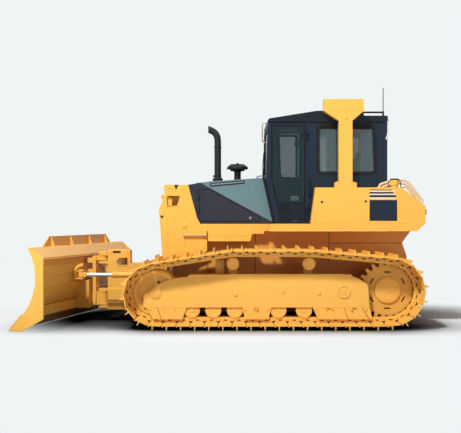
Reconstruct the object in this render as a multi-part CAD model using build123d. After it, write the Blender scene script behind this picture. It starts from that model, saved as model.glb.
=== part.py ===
from build123d import *
import math
import os

# Crawler bulldozer with a power-angle blade, wide tracks and an enclosed cab. Millimetres.
# X runs from the blade to the rear, +Y is the machine's right side, Z is up from the ground.
# The model is laid out about the machine's centre plane (Y = 0) and moved at the end, so that
# its origin is the middle of its base.

# ---------------------------------------------------------------- driving dimensions
# Tracks
track_gauge = 2140
shoe_width = 860
link_pitch = 190
shoe_thickness = 14
shoe_gap = 8
grouser_height = 56
grouser_thickness = 18
link_height = 84
link_thickness = 46
link_spread = 184
idler_x = -1025
idler_radius = 316
idler_width = 238
sprocket_x = 2165
sprocket_seat_radius = 353
sprocket_tooth_height = 60
sprocket_teeth = 23
sprocket_width = 72
hub_radius = 215
slot_radius = 250
slot_length = 90
slot_width = 20
slot_count = 6
cover_radius = 180
roller_radius = 95
roller_flange = 15
roller_places = (-531, -237, 60, 356, 657, 1008, 1353, 1692)
carrier_x = (33, 1079)
carrier_rise = 146
axle_radius = 38
# Track frames
track_frame_width = 300
track_frame_top = 738
track_frame_bottom = 289
guard_bottom = 126
guard_thickness = 18
frame_front_x = -1200
frame_rear_x = 1905
frame_shoulder = (-600, 700)
# Main frame
frame_half_width = 462
frame_nose_x = -950
frame_bottom = 400
frame_top = 1330
equalizer_x = -150
equalizer_height = 100
pivot_shaft_x = 1553
pivot_shaft_z = 505
pivot_shaft_radius = 70
# Hood and nose
hood_half_width = 600
hood_base = 1430
hood_wall = 30
hood_crease = ((-410, 2015), (605, 1457))
shoulder_lean = 15
crease_margin = 30
nose_front_x = -1019
nose_top = 1990
nose_plate_thickness = 20
nose_plate_bottom = 890
engine_door_front_x = -450
engine_door_rear_x = 420
engine_door_bottom = 1465
engine_door_top = 1925
door_gap = 6
engine_hinge_z = (1650, 1850)
# Cab and platform
platform_half_width = 960
platform_rear_x = 2228
apron_front_x = -336
apron_rear_x = 480
apron_bottom = 1185
apron_rear_bottom = 1288
step_top = 1265
step_reach = 150
side_rail_x = (-684, -340)
side_rail_z = (1275, 1335)
side_rail_reach = 50
cab_half_width = 780
cab_wall = 40
cab_front_x = 528
cab_rear_x = 2216
cab_eaves = 2880
cab_knee_z = 2077
cab_knee_x = 508
cab_foot_x = 640
cab_door_front_x = 576
cab_door_foot_x = 700
cab_door_rear_x = 1062
cab_door_bottom = 1470
cab_door_top = cab_eaves - 50
door_frame = 34
door_sill = 1748
window_corner = 60
side_window_x = (1238, 2050)
side_window_sill = 2147
side_window_head = cab_eaves - 45
front_window_y = 690
front_window_z = (2140, cab_eaves - 70)
rear_window_y = 670
rear_window_z = (2120, cab_eaves - 80)
hinge_from_end = 150
glass_thickness = 8
rops_post_x = (1512, 1702)
box_top = 1940
roof_front_top = cab_eaves + 40
roof_ridge_x = 1221
roof_top = cab_eaves + 148
roof_rear_top = cab_eaves + 79
roof_bar_y = 700
roof_bar_radius = 13
roof_bar_end_x = 2168
antenna_radius = 6
antenna_top = roof_top + 332
filler_x = 2297
filler_radius = 60
# Rear handrails, rail_inset inside the platform's edge: the (x, z) points of the outer and inner tube
rail_radius = 16
rail_inset = 145
rail_bend = 40
rail_tubes = (
    ((2085, 1900), (2110, 1990), (2306, 2051), (2450, 2047), (2510, 2015), (2712, 1750), (2660, 1690)),
    ((2130, 1900), (2150, 1955), (2312, 2006), (2440, 2003), (2490, 1975), (2660, 1752), (2640, 1700)),
)
# Grab handles at the cab's front corners: the (x, z) points of the tube
grab_radius = 9
grab_bend = 35
grab_tube = ((540, cab_eaves - 19), (459, cab_eaves - 28), (459, cab_eaves - 290), (535, cab_eaves - 305))
# Roll-over frame
rops_post_inner = 812
rops_flange = 70
canopy_x = (1302, 1861)
canopy_neck = cab_eaves
canopy_corner = cab_eaves + 130
canopy_beam_bottom = roof_top + 12
canopy_top = roof_top + 147
# Blade frame
lift_pivot_x = 350
lift_pivot_z = 520
lift_pin_radius = 50
arm_width = 90
arm_gap = 14
angle_axis_x = -1900
angle_pin_radius = 45
tilt_axis_z = 330
tilt_pin_radius = 50
blade_angle_at_rest = -11.8
# Blade
blade_width = 3840
blade_height = 1123
blade_plane_offset = 379
blade_plate = 22
edge_clearance = 12
edge_thickness = 25
end_plate_thickness = 26
# Cylinders
cylinder_radius = 45
rod_radius = 28
eye_radius = 42
# Fits
pin_clearance = 0.05
side_clearance = 6

# ---------------------------------------------------------------- worked out from those
track_y = track_gauge / 2
shoe_top = grouser_height + shoe_thickness
belt_gap = 0.3


def wrap_radius(tread):
    """Where the links' outer corners run when the links lie on a wheel as straight chords."""
    return math.hypot(tread + belt_gap + link_height, link_pitch / 2)


idler_z = shoe_top + wrap_radius(idler_radius)
sprocket_z = shoe_top + wrap_radius(sprocket_seat_radius)
roller_z = shoe_top + link_height + belt_gap + roller_radius
carrier_z = track_frame_top + carrier_rise
carrier_sag = 9
arm_inner = frame_half_width + arm_gap
arm_outer = arm_inner + arm_width
arm_mid = (arm_inner + arm_outer) / 2
nose_plate_inner = hood_half_width - nose_plate_thickness
frame_roof = roller_z + roller_radius + roller_flange + 10
engine_hinge_x = engine_door_front_x - door_gap
cab_hinge_x = cab_door_rear_x + door_gap
cab_hinge_z = (cab_door_bottom + hinge_from_end, cab_door_top - hinge_from_end)
equalizer_seat = track_frame_top + 90


# ---------------------------------------------------------------- shapes used all over
def slab(x0, x1, y0, y1, z0, z1):
    return Pos((x0 + x1) / 2, (y0 + y1) / 2, (z0 + z1) / 2) * Box(x1 - x0, y1 - y0, z1 - z0)


def side_form(points, y0, y1):
    """Outline of (x, z) points, from y0 to y1."""
    outline = Polyline(*[(x, y0, z) for x, z in points], close=True)
    return extrude(make_face(outline), amount=y1 - y0, dir=(0, 1, 0))


def rounded_form(points, radius, y0, y1):
    """Outline of (x, z) points with rounded corners, from y0 to y1."""
    outline = FilletPolyline(*[(x, y0, z) for x, z in points], radius=radius, close=True)
    return extrude(make_face(outline), amount=y1 - y0, dir=(0, 1, 0))


def inset(points, distance):
    """The outline moved inwards; its (x, z) points run anticlockwise with X to the right."""
    edges = []
    for (x0, z0), (x1, z1) in zip(points, points[1:] + points[:1]):
        span = math.hypot(x1 - x0, z1 - z0)
        nx, nz = (z0 - z1) / span, (x1 - x0) / span
        edges.append((nx, nz, nx * x0 + nz * z0 + distance))
    corners = []
    for (ax, az, a), (bx, bz, b) in zip(edges[-1:] + edges[:-1], edges):
        turn = ax * bz - az * bx
        corners.append(((a * bz - b * az) / turn, (ax * b - bx * a) / turn))
    return corners


def plan_form(points, z0, z1):
    """Outline of (x, y) points, from z0 to z1."""
    outline = Polyline(*[(x, y, z0) for x, y in points], close=True)
    return extrude(make_face(outline), amount=z1 - z0, dir=(0, 0, 1))


def front_form(points, x0, x1):
    """Outline of (y, z) points, from x0 to x1."""
    outline = Polyline(*[(x0, y, z) for y, z in points], close=True)
    return extrude(make_face(outline), amount=x1 - x0, dir=(1, 0, 0))


def rod_x(y, z, radius, x0, x1):
    return Pos((x0 + x1) / 2, y, z) * Rot(0, 90, 0) * Cylinder(radius, x1 - x0)


def rod_y(x, z, radius, y0, y1):
    return Pos(x, (y0 + y1) / 2, z) * Rot(90, 0, 0) * Cylinder(radius, y1 - y0)


def rod_z(x, y, radius, z0, z1):
    return Pos(x, y, (z0 + z1) / 2) * Cylinder(radius, z1 - z0)


def other_side(part):
    return mirror(part, about=Plane.XZ)


def both_sides(part):
    return part + other_side(part)


def joined(parts):
    whole = parts[0]
    return whole.fuse(*parts[1:]) if len(parts) > 1 else whole


# ---------------------------------------------------------------- tracks
# The links' outer corners run round these wheels in order: idler, sprocket, rear and front carrier.
wheels = [
    # x, z, radius of the corners
    (idler_x, idler_z, wrap_radius(idler_radius)),
    (sprocket_x, sprocket_z, wrap_radius(sprocket_seat_radius)),
    (carrier_x[1], carrier_z, roller_radius + link_height),
    (carrier_x[0], carrier_z, roller_radius + link_height),
]


def belt_path():
    """Lines and arcs round the wheels."""
    count = len(wheels)
    normals = []
    for i in range(count):
        x0, z0, r0 = wheels[i]
        x1, z1, r1 = wheels[(i + 1) % count]
        span = math.hypot(x1 - x0, z1 - z0)
        dx, dz = (x1 - x0) / span, (z1 - z0) / span
        lean = (r0 - r1) / span
        flat = math.sqrt(1 - lean * lean)
        normals.append((lean * dx + flat * dz, lean * dz - flat * dx))
    pieces = []
    for i in range(count):
        x, z, r = wheels[i]
        n_in, n_out = normals[i - 1], normals[i]
        start = math.atan2(n_in[1], n_in[0])
        sweep = (math.atan2(n_out[1], n_out[0]) - start) % (2 * math.pi)
        pieces.append(("arc", x, z, r, start, sweep))
        nx, nz, nr = wheels[(i + 1) % count]
        begin = (x + r * n_out[0], z + r * n_out[1])
        finish = (nx + nr * n_out[0], nz + nr * n_out[1])
        pieces.append(("line", begin, finish))
    return pieces


def point_on(pieces, distance):
    """The point at a distance along the path."""
    for piece in pieces:
        if piece[0] == "arc":
            x, z, r, start, sweep = piece[1:]
            length = r * sweep
            if distance <= length:
                angle = start + distance / r
                return x + r * math.cos(angle), z + r * math.sin(angle)
        else:
            begin, finish = piece[1:]
            length = math.dist(begin, finish)
            if distance <= length:
                share = distance / length
                return begin[0] + (finish[0] - begin[0]) * share, begin[1] + (finish[1] - begin[1]) * share
        distance -= length
    return point_on(pieces, distance)


def path_length(pieces):
    return sum(p[3] * p[5] if p[0] == "arc" else math.dist(p[1], p[2]) for p in pieces)


def track_links():
    """Corners of the belt where its links meet, on the links' outer side."""
    path = belt_path()
    length = path_length(path)
    count = round(length / link_pitch)
    return [point_on(path, length * i / count) for i in range(count)]


def track(side):
    corners = track_links()
    count = len(corners)
    shoes = []
    for i in range(count):
        x0, z0 = corners[i]
        x1, z1 = corners[(i + 1) % count]
        span = math.hypot(x1 - x0, z1 - z0)
        tx, tz = (x1 - x0) / span, (z1 - z0) / span
        nx, nz = tz, -tx

        def at(along, out):
            return x0 + tx * along + nx * out, z0 + tz * along + nz * out

        edge = shoe_gap / 2
        lug = span * 0.3
        profile = [
            at(edge, 0),
            at(span - edge, 0),
            at(span - edge, shoe_thickness),
            at(lug + grouser_thickness, shoe_thickness),
            at(lug + grouser_thickness * 0.8, shoe_thickness + grouser_height),
            at(lug + grouser_thickness * 0.2, shoe_thickness + grouser_height),
            at(lug, shoe_thickness),
            at(edge, shoe_thickness),
        ]
        shoes.append(side_form(profile, -shoe_width / 2, shoe_width / 2))
    inner = []
    for i in range(count):
        xa, za = corners[i - 1]
        x, z = corners[i]
        xb, zb = corners[(i + 1) % count]
        la, lb = math.hypot(x - xa, z - za), math.hypot(xb - x, zb - z)
        ax, az = (x - xa) / la, (z - za) / la
        bx, bz = (xb - x) / lb, (zb - z) / lb
        mx, mz = az + bz, -(ax + bx)
        m = math.hypot(mx, mz)
        mx, mz = mx / m, mz / m
        depth = link_height / (mx * az - mz * ax)
        inner.append((x - mx * depth, z - mz * depth))
    rails = []
    for middle in (-link_spread / 2, link_spread / 2):
        outer_ring = side_form(corners, middle - link_thickness / 2, middle + link_thickness / 2)
        hole = side_form(inner, middle - link_thickness, middle + link_thickness)
        rails.append(outer_ring - hole)
    return Pos(0, side * track_y, 0) * joined(rails + shoes)


def idler(side):
    tread = rod_y(idler_x, idler_z, idler_radius, -idler_width / 2, idler_width / 2)
    flange_gap = link_spread / 2 - link_thickness / 2 - side_clearance
    flange = rod_y(idler_x, idler_z, idler_radius + 18, -flange_gap, flange_gap)
    hub = rod_y(idler_x, idler_z, 70, -idler_width / 2 - 20, idler_width / 2 + 20)
    return Pos(0, side * track_y, 0) * (tread + flange + hub)


def sprocket(side):
    tip = sprocket_seat_radius + sprocket_tooth_height
    outline = []
    for i in range(sprocket_teeth):
        for share, radius in ((0.0, sprocket_seat_radius - 8), (0.3, sprocket_seat_radius - 8),
                              (0.52, tip), (0.78, tip)):
            angle = 2 * math.pi * (i + share) / sprocket_teeth
            outline.append((sprocket_x + radius * math.cos(angle), sprocket_z + radius * math.sin(angle)))
    rim = side_form(outline, -sprocket_width / 2, sprocket_width / 2)
    for i in range(slot_count):
        slot = Pos(slot_radius, 0, 0) * Box(slot_width, sprocket_width + 2, slot_length)
        rim -= Pos(sprocket_x, 0, sprocket_z) * Rot(0, 360 * (i + 0.5) / slot_count, 0) * slot
    inward = -track_y + frame_half_width
    hub = rod_y(sprocket_x, sprocket_z, hub_radius, inward, sprocket_width / 2)
    cover = rod_y(sprocket_x, sprocket_z, cover_radius, sprocket_width / 2, sprocket_width / 2 + 20)
    whole = rim + hub + cover
    return Pos(0, track_y, 0) * whole if side > 0 else other_side(Pos(0, track_y, 0) * whole)


def rollers(side):
    reach = track_frame_width / 2 - guard_thickness
    tread = link_spread / 2 + link_thickness / 2 + 4
    between = link_spread / 2 - link_thickness / 2 - side_clearance
    big = roller_radius + roller_flange
    parts = []
    for x in roller_places:
        roller = rod_y(x, roller_z, roller_radius, -tread, tread)
        for low, high in ((-tread - 8, -tread), (-between, between), (tread, tread + 8)):
            roller += rod_y(x, roller_z, big, low, high)
        parts.append(roller + rod_y(x, roller_z, axle_radius, -reach, reach))
    return Pos(0, side * track_y, 0) * joined(parts)


def carrier_rollers(side):
    parts = []
    tread = link_spread / 2 + link_thickness / 2 + 4
    for x in carrier_x:
        wheel = rod_y(x, carrier_z, roller_radius - carrier_sag, -tread, tread)
        post = slab(x - 60, x + 60, -track_frame_width / 2, -tread - 6, track_frame_top, carrier_z + 50)
        axle = rod_y(x, carrier_z, axle_radius, -tread - 10, tread + 12)
        parts.append(wheel + post + axle)
    whole = Pos(0, track_y, 0) * joined(parts)
    return whole if side > 0 else other_side(whole)


def track_frame(side):
    half = track_frame_width / 2
    roof = frame_roof
    beam = side_form(
        [(-600, roof), (1660, roof), (1660, track_frame_top), (-560, track_frame_top), (-600, 700)],
        -half, half)
    shoulder_x, shoulder_z = frame_shoulder

    def cheek(low):
        """Side plate with a rounded front over the idler and its rear end short of the sprocket's hub."""
        def at(x, z):
            return (x, low, z)

        outline = [
            Line(at(frame_front_x, track_frame_bottom), at(frame_front_x, idler_z - 40)),
            ThreePointArc(at(frame_front_x, idler_z - 40), at(-1010, 592), at(shoulder_x, shoulder_z)),
            Polyline(at(shoulder_x, shoulder_z), at(0, track_frame_top), at(1560, track_frame_top),
                     at(1758, 685), at(frame_rear_x - 25, 600), at(frame_rear_x, track_frame_bottom),
                     at(frame_front_x, track_frame_bottom)),
        ]
        return extrude(make_face(outline), amount=guard_thickness, dir=(0, 1, 0))

    lows = (-half, half - guard_thickness)
    panels = [cheek(low) for low in lows]
    guards = []
    guard_table = [
        # front x at top, rear x at top, front x at bottom, rear x at bottom
        (frame_front_x + 40, -600, -1060, -660),
        (160, 560, 200, 520),
        (1125, frame_rear_x, 1200, frame_rear_x + 40),
    ]
    for top_a, top_b, low_a, low_b in guard_table:
        outline = [(low_a, guard_bottom), (low_b, guard_bottom), (top_b, track_frame_bottom + 1),
                   (top_a, track_frame_bottom + 1)]
        guards += [side_form(outline, low, low + guard_thickness) for low in lows]
    seat = slab(equalizer_x - 60, equalizer_x + 60, -half - 70, -half + 10, roof + 200, equalizer_seat)
    whole = joined([beam, seat] + panels + guards)
    for x in roller_places:
        whole -= rod_y(x, roller_z, axle_radius + pin_clearance, -half - 1, half + 1)
    whole -= rod_y(idler_x, idler_z, 70 + pin_clearance, -half - 1, half + 1)
    whole -= rod_y(pivot_shaft_x, pivot_shaft_z, pivot_shaft_radius, -half - 1, half + 1)
    whole = Pos(0, track_y, 0) * whole
    return whole if side > 0 else other_side(whole)


# ---------------------------------------------------------------- main frame
frame_outline = [
    (frame_nose_x, nose_plate_bottom), (frame_nose_x, 600), (-760, 420), (1750, frame_bottom), (2300, 560),
    (2549, 947), (2478, 1160), (2604, frame_top), (-640, frame_top), (-640, nose_plate_bottom),
]


def main_frame():
    body = side_form(frame_outline, -frame_half_width, frame_half_width)
    pin = rod_y(lift_pivot_x, lift_pivot_z, lift_pin_radius, frame_half_width - 10, arm_outer + 8)
    cap = rod_y(lift_pivot_x, lift_pivot_z, lift_pin_radius + 25, arm_outer + 8, arm_outer + 26)
    body += both_sides(pin + cap)
    saddle = slab(equalizer_x - 60, equalizer_x + 60, -frame_half_width - 1, frame_half_width + 1,
                  equalizer_seat, equalizer_seat + equalizer_height)
    reach = frame_half_width + 1
    shaft = rod_y(pivot_shaft_x, pivot_shaft_z, pivot_shaft_radius, -reach, reach)
    return body - saddle - shaft


def equalizer_bar():
    half = track_y - track_frame_width / 2 + 10
    top = equalizer_seat + equalizer_height
    return slab(equalizer_x - 60, equalizer_x + 60, -half, half, equalizer_seat, top)


def pivot_shaft():
    reach = track_y + track_frame_width / 2 + 5
    return rod_y(pivot_shaft_x, pivot_shaft_z, pivot_shaft_radius, -reach, reach)


def drawbar():
    plate = plan_form([(2300, -200), (2560, -160), (2760, -90), (2790, 0), (2760, 90), (2560, 160),
                       (2300, 200)], 600, 650)
    root = slab(2300, 2420, -200, 200, 600, 760)
    hole = rod_z(2700, 0, 30, 590, 660)
    return plate + root - hole - side_form(frame_outline, -frame_half_width, frame_half_width)


hinge_radius = 16
hinge_pin_radius = 8
hinge_reach = 16
knuckle_half = 30
knuckle_gap = 0.3


def hinge_seat(x, face_y, z, toward):
    """Two lugs and a pin on the fixed side; toward is +1 where they stand behind the axis."""
    y = face_y + hinge_reach
    parts = [rod_z(x, y, hinge_pin_radius, z - knuckle_half - 14, z + knuckle_half + 14)]
    for low in (z - knuckle_half - 14, z + knuckle_half):
        parts.append(rod_z(x, y, hinge_radius, low, low + 14))
        parts.append(slab(*sorted((x, x + toward * 36)), face_y - 2, y + hinge_radius, low, low + 14))
    return joined(parts)


def hinge_leaf(x, face_y, z, toward):
    """A knuckle on the pin and a leaf on the door's face."""
    y = face_y + hinge_reach
    low, high = z - knuckle_half + knuckle_gap, z + knuckle_half - knuckle_gap
    near, far = x - toward * 2 * door_gap, x - toward * 70
    leaf = slab(*sorted((near, far)), face_y - 2, face_y + 8, low, high)
    leaf += slab(*sorted((x, near)), face_y + 2, face_y + 8, low, high)
    whole = leaf + rod_z(x, y, hinge_radius - 1, low, high)
    return whole - rod_z(x, y, hinge_pin_radius + pin_clearance, low, high)


def engine_block():
    return slab(-560, 430, -330, 330, frame_top, 1880)


# ---------------------------------------------------------------- nose and hood
grille_z = (1000, 1750)
grille_half_width = 400
grille_bars = 12


def radiator_guard():
    depth_rear = -600
    body = side_form(
        [(-955, nose_plate_bottom), (-1010, 1500), (nose_front_x + 4, 1650), (-940, 1840), (-945, 1962),
         (depth_rear, 1962), (depth_rear, frame_top), (-640, frame_top), (-640, nose_plate_bottom)],
        -frame_half_width, frame_half_width)
    window = slab(-1100, -930, -grille_half_width, grille_half_width, *grille_z)
    bore = trunnion_radius + pin_clearance
    trunnion = rod_y(trunnion_x, trunnion_z, bore, frame_half_width - 22, frame_half_width + 1)
    return body - window - both_sides(trunnion)


def radiator_grille():
    low, high = grille_z
    half = grille_half_width
    step = (high - low) / (grille_bars + 1)
    heights = [low + step * (i + 1) for i in range(grille_bars)]
    bars = [slab(-990, -930, -half, half, z - 7, z + 7) for z in heights]
    posts = [slab(-975, -945, y - 12, y + 12, low, high) for y in (-half / 2, 0, half / 2)]
    return joined(bars + posts)


nose_outline = [
    (-960, nose_plate_bottom), (-1009, 1525), (nose_front_x, 1600), (nose_front_x, 1650), (-945, 1840),
    (-955, 1975), (-940, nose_top), (-607, nose_top), (-498, 1590), (-478, 1510), (-430, hood_base),
    (-430, frame_top), (apron_front_x, frame_top), (apron_front_x, 1040),
    (-640, nose_plate_bottom),
]
lamp_pocket = [(-912, 1833), (-905, 1668), (-765, 1700), (-730, 1795), (-700, 1833)]
brow_notch = [(-809, nose_top + 1), (-780, 1912), (-741, nose_top + 1)]


def nose_plates():
    plate = side_form(nose_outline, nose_plate_inner, hood_half_width)
    bore = trunnion_radius + pin_clearance
    plate -= rod_y(trunnion_x, trunnion_z, bore, nose_plate_inner - 1, hood_half_width + 1)
    for opening in (lamp_pocket, brow_notch):
        plate -= side_form(opening, nose_plate_inner - 1, hood_half_width + 1)
    return both_sides(plate)


hood_outline = [
    (-607, nose_top), (-498, 1590), (-478, 1510), (-430, hood_base), (605, hood_base), (460, 2092),
    (-300, 2040),
]


def shoulder(depth):
    """Cut off above the crease, where the hood's sides lean in; it starts this depth inside each side."""
    (x0, z0), (x1, z1) = hood_crease
    span = math.dist(*hood_crease)
    ax, az = (x1 - x0) / span, (z1 - z0) / span
    reach = 900
    start = Plane(origin=(x0 - ax * reach, hood_half_width - depth, z0 - az * reach), x_dir=(-az, 0, ax),
                  z_dir=(ax, 0, az))
    inward = reach * math.tan(math.radians(shoulder_lean))
    outline = Polyline((0, -100), (reach, -100), (reach, inward), (0, 0), close=True)
    wedge = extrude(start * make_face(outline), amount=span + 2 * reach, dir=(ax, 0, az))
    return both_sides(wedge)


def below_crease(x):
    """How high a panel under the crease may reach."""
    (x0, z0), (x1, z1) = hood_crease
    slope = (z1 - z0) / (x1 - x0)
    return z0 + slope * (x - x0) - crease_margin * math.hypot(1, slope)


def engine_door_outline():
    (x0, z0), (x1, z1) = hood_crease
    drop = below_crease(engine_door_front_x) - engine_door_top
    corner_x = engine_door_front_x + drop * (x1 - x0) / (z0 - z1)
    return [(engine_door_front_x, engine_door_bottom), (engine_door_rear_x, engine_door_bottom),
            (engine_door_rear_x, below_crease(engine_door_rear_x)), (corner_x, engine_door_top),
            (engine_door_front_x, engine_door_top)]


def hood():
    shell = side_form(hood_outline, -hood_half_width, hood_half_width) - shoulder(0)
    room = side_form([(-700, 1400), (640, 1400), (640, 2055), (460, 2055), (-300, 2005), (-700, 1945)],
                     -hood_half_width + hood_wall, hood_half_width - hood_wall) - shoulder(hood_wall)
    opening = side_form(engine_door_outline(), -hood_half_width - 1, hood_half_width + 1)
    cowl = slab(-925, -570, -nose_plate_inner, nose_plate_inner, nose_top - 28, nose_top)
    hinges = joined([hinge_seat(engine_hinge_x, hood_half_width, z, -1) for z in engine_hinge_z])
    return shell - room - opening + cowl + hinges + other_side(hinges)


def engine_door(side):
    panel = side_form(inset(engine_door_outline(), door_gap), hood_half_width - hood_wall, hood_half_width)
    for z in engine_hinge_z:
        panel += hinge_leaf(engine_hinge_x, hood_half_width, z, -1)
    return panel if side > 0 else other_side(panel)


def above_hood(part):
    return part - side_form(hood_outline, -hood_half_width, hood_half_width)


exhaust_x = -190
exhaust_radius = 50
exhaust_wall = 5
exhaust_bend_z = 2640
precleaner_x = 104


def exhaust_pipe():
    """A straight stack with its top bent forward and its mouth cut off upright."""
    x, z = exhaust_x, exhaust_bend_z
    stack = Line((x, 0, hood_base + 590), (x, 0, z))
    bend = ThreePointArc((x, 0, z), (x - 25, 0, z + 118), (x - 95, 0, z + 215))
    pipe = sweep(Plane(origin=stack @ 0) * Circle(exhaust_radius), stack)
    pipe += sweep(Plane(origin=bend @ 0) * Circle(exhaust_radius), bend)
    pipe -= sweep(Plane(origin=bend @ 0) * Circle(exhaust_radius - exhaust_wall), bend)
    mouth = Pos(x - 72, 0, z + 200) * Rot(0, -70, 0) * Pos(0, 0, 100) * Box(300, 200, 200)
    collar = rod_z(x, 0, exhaust_radius + 26, hood_base + 590, hood_base + 680)
    return above_hood(pipe - mouth + collar)


def air_precleaner():
    """Stem, bowl, brim and lid, turned in one."""
    profile = [(0, hood_base + 600), (50, hood_base + 600), (50, 2200), (112, 2236), (153, 2240), (153, 2276),
               (105, 2315), (0, 2315)]
    outline = Polyline(*[(precleaner_x + r, 0, z) for r, z in profile], close=True)
    return above_hood(revolve(make_face(outline), axis=Axis((precleaner_x, 0, 0), (0, 0, 1))))


# ---------------------------------------------------------------- platform, cab, roof
def platform():
    outline = [(-430, -hood_half_width), (540, -hood_half_width), (540, -platform_half_width),
               (platform_rear_x, -platform_half_width), (platform_rear_x, platform_half_width),
               (540, platform_half_width), (540, hood_half_width), (-430, hood_half_width)]
    engine_bay = slab(-431, 480, -frame_half_width, frame_half_width, frame_top - 1, hood_base + 1)
    return plan_form(outline, frame_top, hood_base) - engine_bay


cab_outline = [
    (cab_foot_x, hood_base), (cab_knee_x, cab_knee_z), (cab_front_x, cab_eaves), (cab_rear_x, cab_eaves),
    (cab_rear_x, hood_base),
]
cab_door_outline = [
    (cab_door_foot_x, cab_door_bottom), (cab_door_rear_x, cab_door_bottom), (cab_door_rear_x, cab_door_top),
    (cab_door_front_x, cab_door_top), (cab_door_front_x, cab_knee_z),
]
side_window = [(side_window_x[0], side_window_sill), (side_window_x[1], side_window_sill),
               (side_window_x[1] - 26, side_window_head), (side_window_x[0], side_window_head)]


def door_window():
    """The door's outline inside its frame, cut off at the sill."""
    foot, heel, head, front, knee = inset(cab_door_outline, door_frame)
    share = (door_sill - foot[1]) / (knee[1] - foot[1])
    return [(foot[0] + (knee[0] - foot[0]) * share, door_sill), (heel[0], door_sill), head, front, knee]


def cab_shell():
    shell = side_form(cab_outline, -cab_half_width, cab_half_width)
    wall = cab_wall
    room = side_form([(cab_foot_x + wall, hood_base - 1), (cab_knee_x + wall + 4, cab_knee_z),
                      (cab_front_x + wall + 2, cab_eaves - wall), (cab_rear_x - wall, cab_eaves - wall),
                      (cab_rear_x - wall, hood_base - 1)], -cab_half_width + wall, cab_half_width - wall)
    shell -= room
    wide = cab_half_width + 1
    shell -= side_form(cab_door_outline, -wide, wide)
    shell -= rounded_form(side_window, window_corner, -wide, wide)
    shell -= slab(cab_knee_x - 100, cab_knee_x + 150, -front_window_y, front_window_y, *front_window_z)
    shell -= slab(cab_rear_x - 100, cab_rear_x + 10, -rear_window_y, rear_window_y, *rear_window_z)
    hinges = joined([hinge_seat(cab_hinge_x, cab_half_width, z, 1) for z in cab_hinge_z])
    return shell + hinges + other_side(hinges)


def cab_door(side):
    low, high = cab_half_width - cab_wall, cab_half_width
    panel = side_form(inset(cab_door_outline, door_gap), low, high)
    panel -= rounded_form(door_window(), window_corner, low - 1, high + 1)
    for z in cab_hinge_z:
        panel += hinge_leaf(cab_hinge_x, cab_half_width, z, 1)
    return panel if side > 0 else other_side(panel)


def pane(points):
    """A rounded pane in the middle of the cab's right wall."""
    middle = cab_half_width - cab_wall / 2
    return rounded_form(points, window_corner, middle - glass_thickness / 2, middle + glass_thickness / 2)


def cab_door_glass(side):
    return pane(door_window()) if side > 0 else other_side(pane(door_window()))


def cab_glass():
    low, high = front_window_z
    front = side_form([(530, low), (538, low), (547, high), (539, high)], -front_window_y, front_window_y)
    rear = slab(cab_rear_x - 24, cab_rear_x - 16, -rear_window_y, rear_window_y, *rear_window_z)
    return [pane(side_window), other_side(pane(side_window)), front, rear]


def cab_roof():
    outline = [(520, cab_eaves), (545, roof_front_top), (roof_ridge_x, roof_top), (1870, roof_top),
               (1885, roof_rear_top), (cab_rear_x, roof_rear_top), (cab_rear_x + 10, cab_eaves)]
    roof = side_form(outline, -cab_half_width - 20, cab_half_width + 20)
    bar = []
    for y in (-roof_bar_y, roof_bar_y):
        bar.append(rod_x(y, roof_top - roof_bar_radius, roof_bar_radius, 1860, roof_bar_end_x))
        bar.append(rod_z(roof_bar_end_x, y, roof_bar_radius, roof_rear_top - 5, roof_top + 3))
    return joined([roof] + bar)


def rops_frame():
    x0, x1 = rops_post_x
    outer = platform_half_width
    post = slab(x0, x1, rops_post_inner, outer, box_top + rops_flange, canopy_neck + 10)
    flange = slab(x0 - 55, x1 + 60, rops_post_inner - 12, outer, box_top, box_top + rops_flange)
    front, rear = canopy_x
    head = side_form([(x0 - 10, canopy_neck), (x1 + 10, canopy_neck), (rear, canopy_corner),
                      (rear, canopy_top), (front, canopy_top), (front, canopy_corner)], rops_post_inner, outer)
    beam = slab(x0 - 10, x1 + 10, -outer, outer, canopy_beam_bottom, canopy_top)
    return beam + both_sides(post + flange + head)


tail_outline = [(2387, box_top), (2722, 1680), (2722, 1440), (2604, frame_top), (platform_rear_x, frame_top)]
rear_outline = [(1118, hood_base), (1185, box_top)] + tail_outline + [(platform_rear_x, hood_base)]


def rear_box(side):
    """The left box has the filler cap on its top."""
    box = side_form(rear_outline, cab_half_width + 6, platform_half_width)
    if side > 0:
        return box
    y = platform_half_width - filler_radius
    neck = rod_z(filler_x, y, filler_radius - 10, box_top - 5, box_top + 35)
    return other_side(box + neck + rod_z(filler_x, y, filler_radius, box_top + 35, box_top + 105))


def fuel_tank():
    return side_form(tail_outline + [(platform_rear_x, box_top)], -cab_half_width, cab_half_width)


def operator_seat():
    base = slab(1380, 1780, -180, 180, hood_base, 1720)
    cushion = slab(1330, 1830, -250, 250, 1720, 1850)
    back = side_form([(1760, 1850), (1850, 2480), (1960, 2480), (1900, 1850)], -240, 240)
    return base + cushion + back


def control_consoles():
    console = slab(1250, 1800, 330, 520, hood_base, 1960)
    dash = side_form([(700, hood_base), (650, 2030), (760, 2080), (900, 1900), (900, hood_base)], -260, 260)
    return [console, other_side(console), dash]


def bent_tube(points, y, radius, bend):
    path = FilletPolyline(*[(x, y, z) for x, z in points], radius=bend)
    return sweep(Plane(origin=path @ 0, z_dir=path % 0) * Circle(radius), path)


def handrails():
    rails = []
    for points in rail_tubes:
        tube = bent_tube(points, platform_half_width - rail_inset, rail_radius, rail_bend)
        tube -= side_form(rear_outline, cab_half_width, platform_half_width)
        rails += [tube, other_side(tube)]
    grab = bent_tube(grab_tube, cab_half_width - 15, grab_radius, grab_bend)
    grab -= side_form(cab_outline, -cab_half_width, cab_half_width)
    return rails + [grab]


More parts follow.
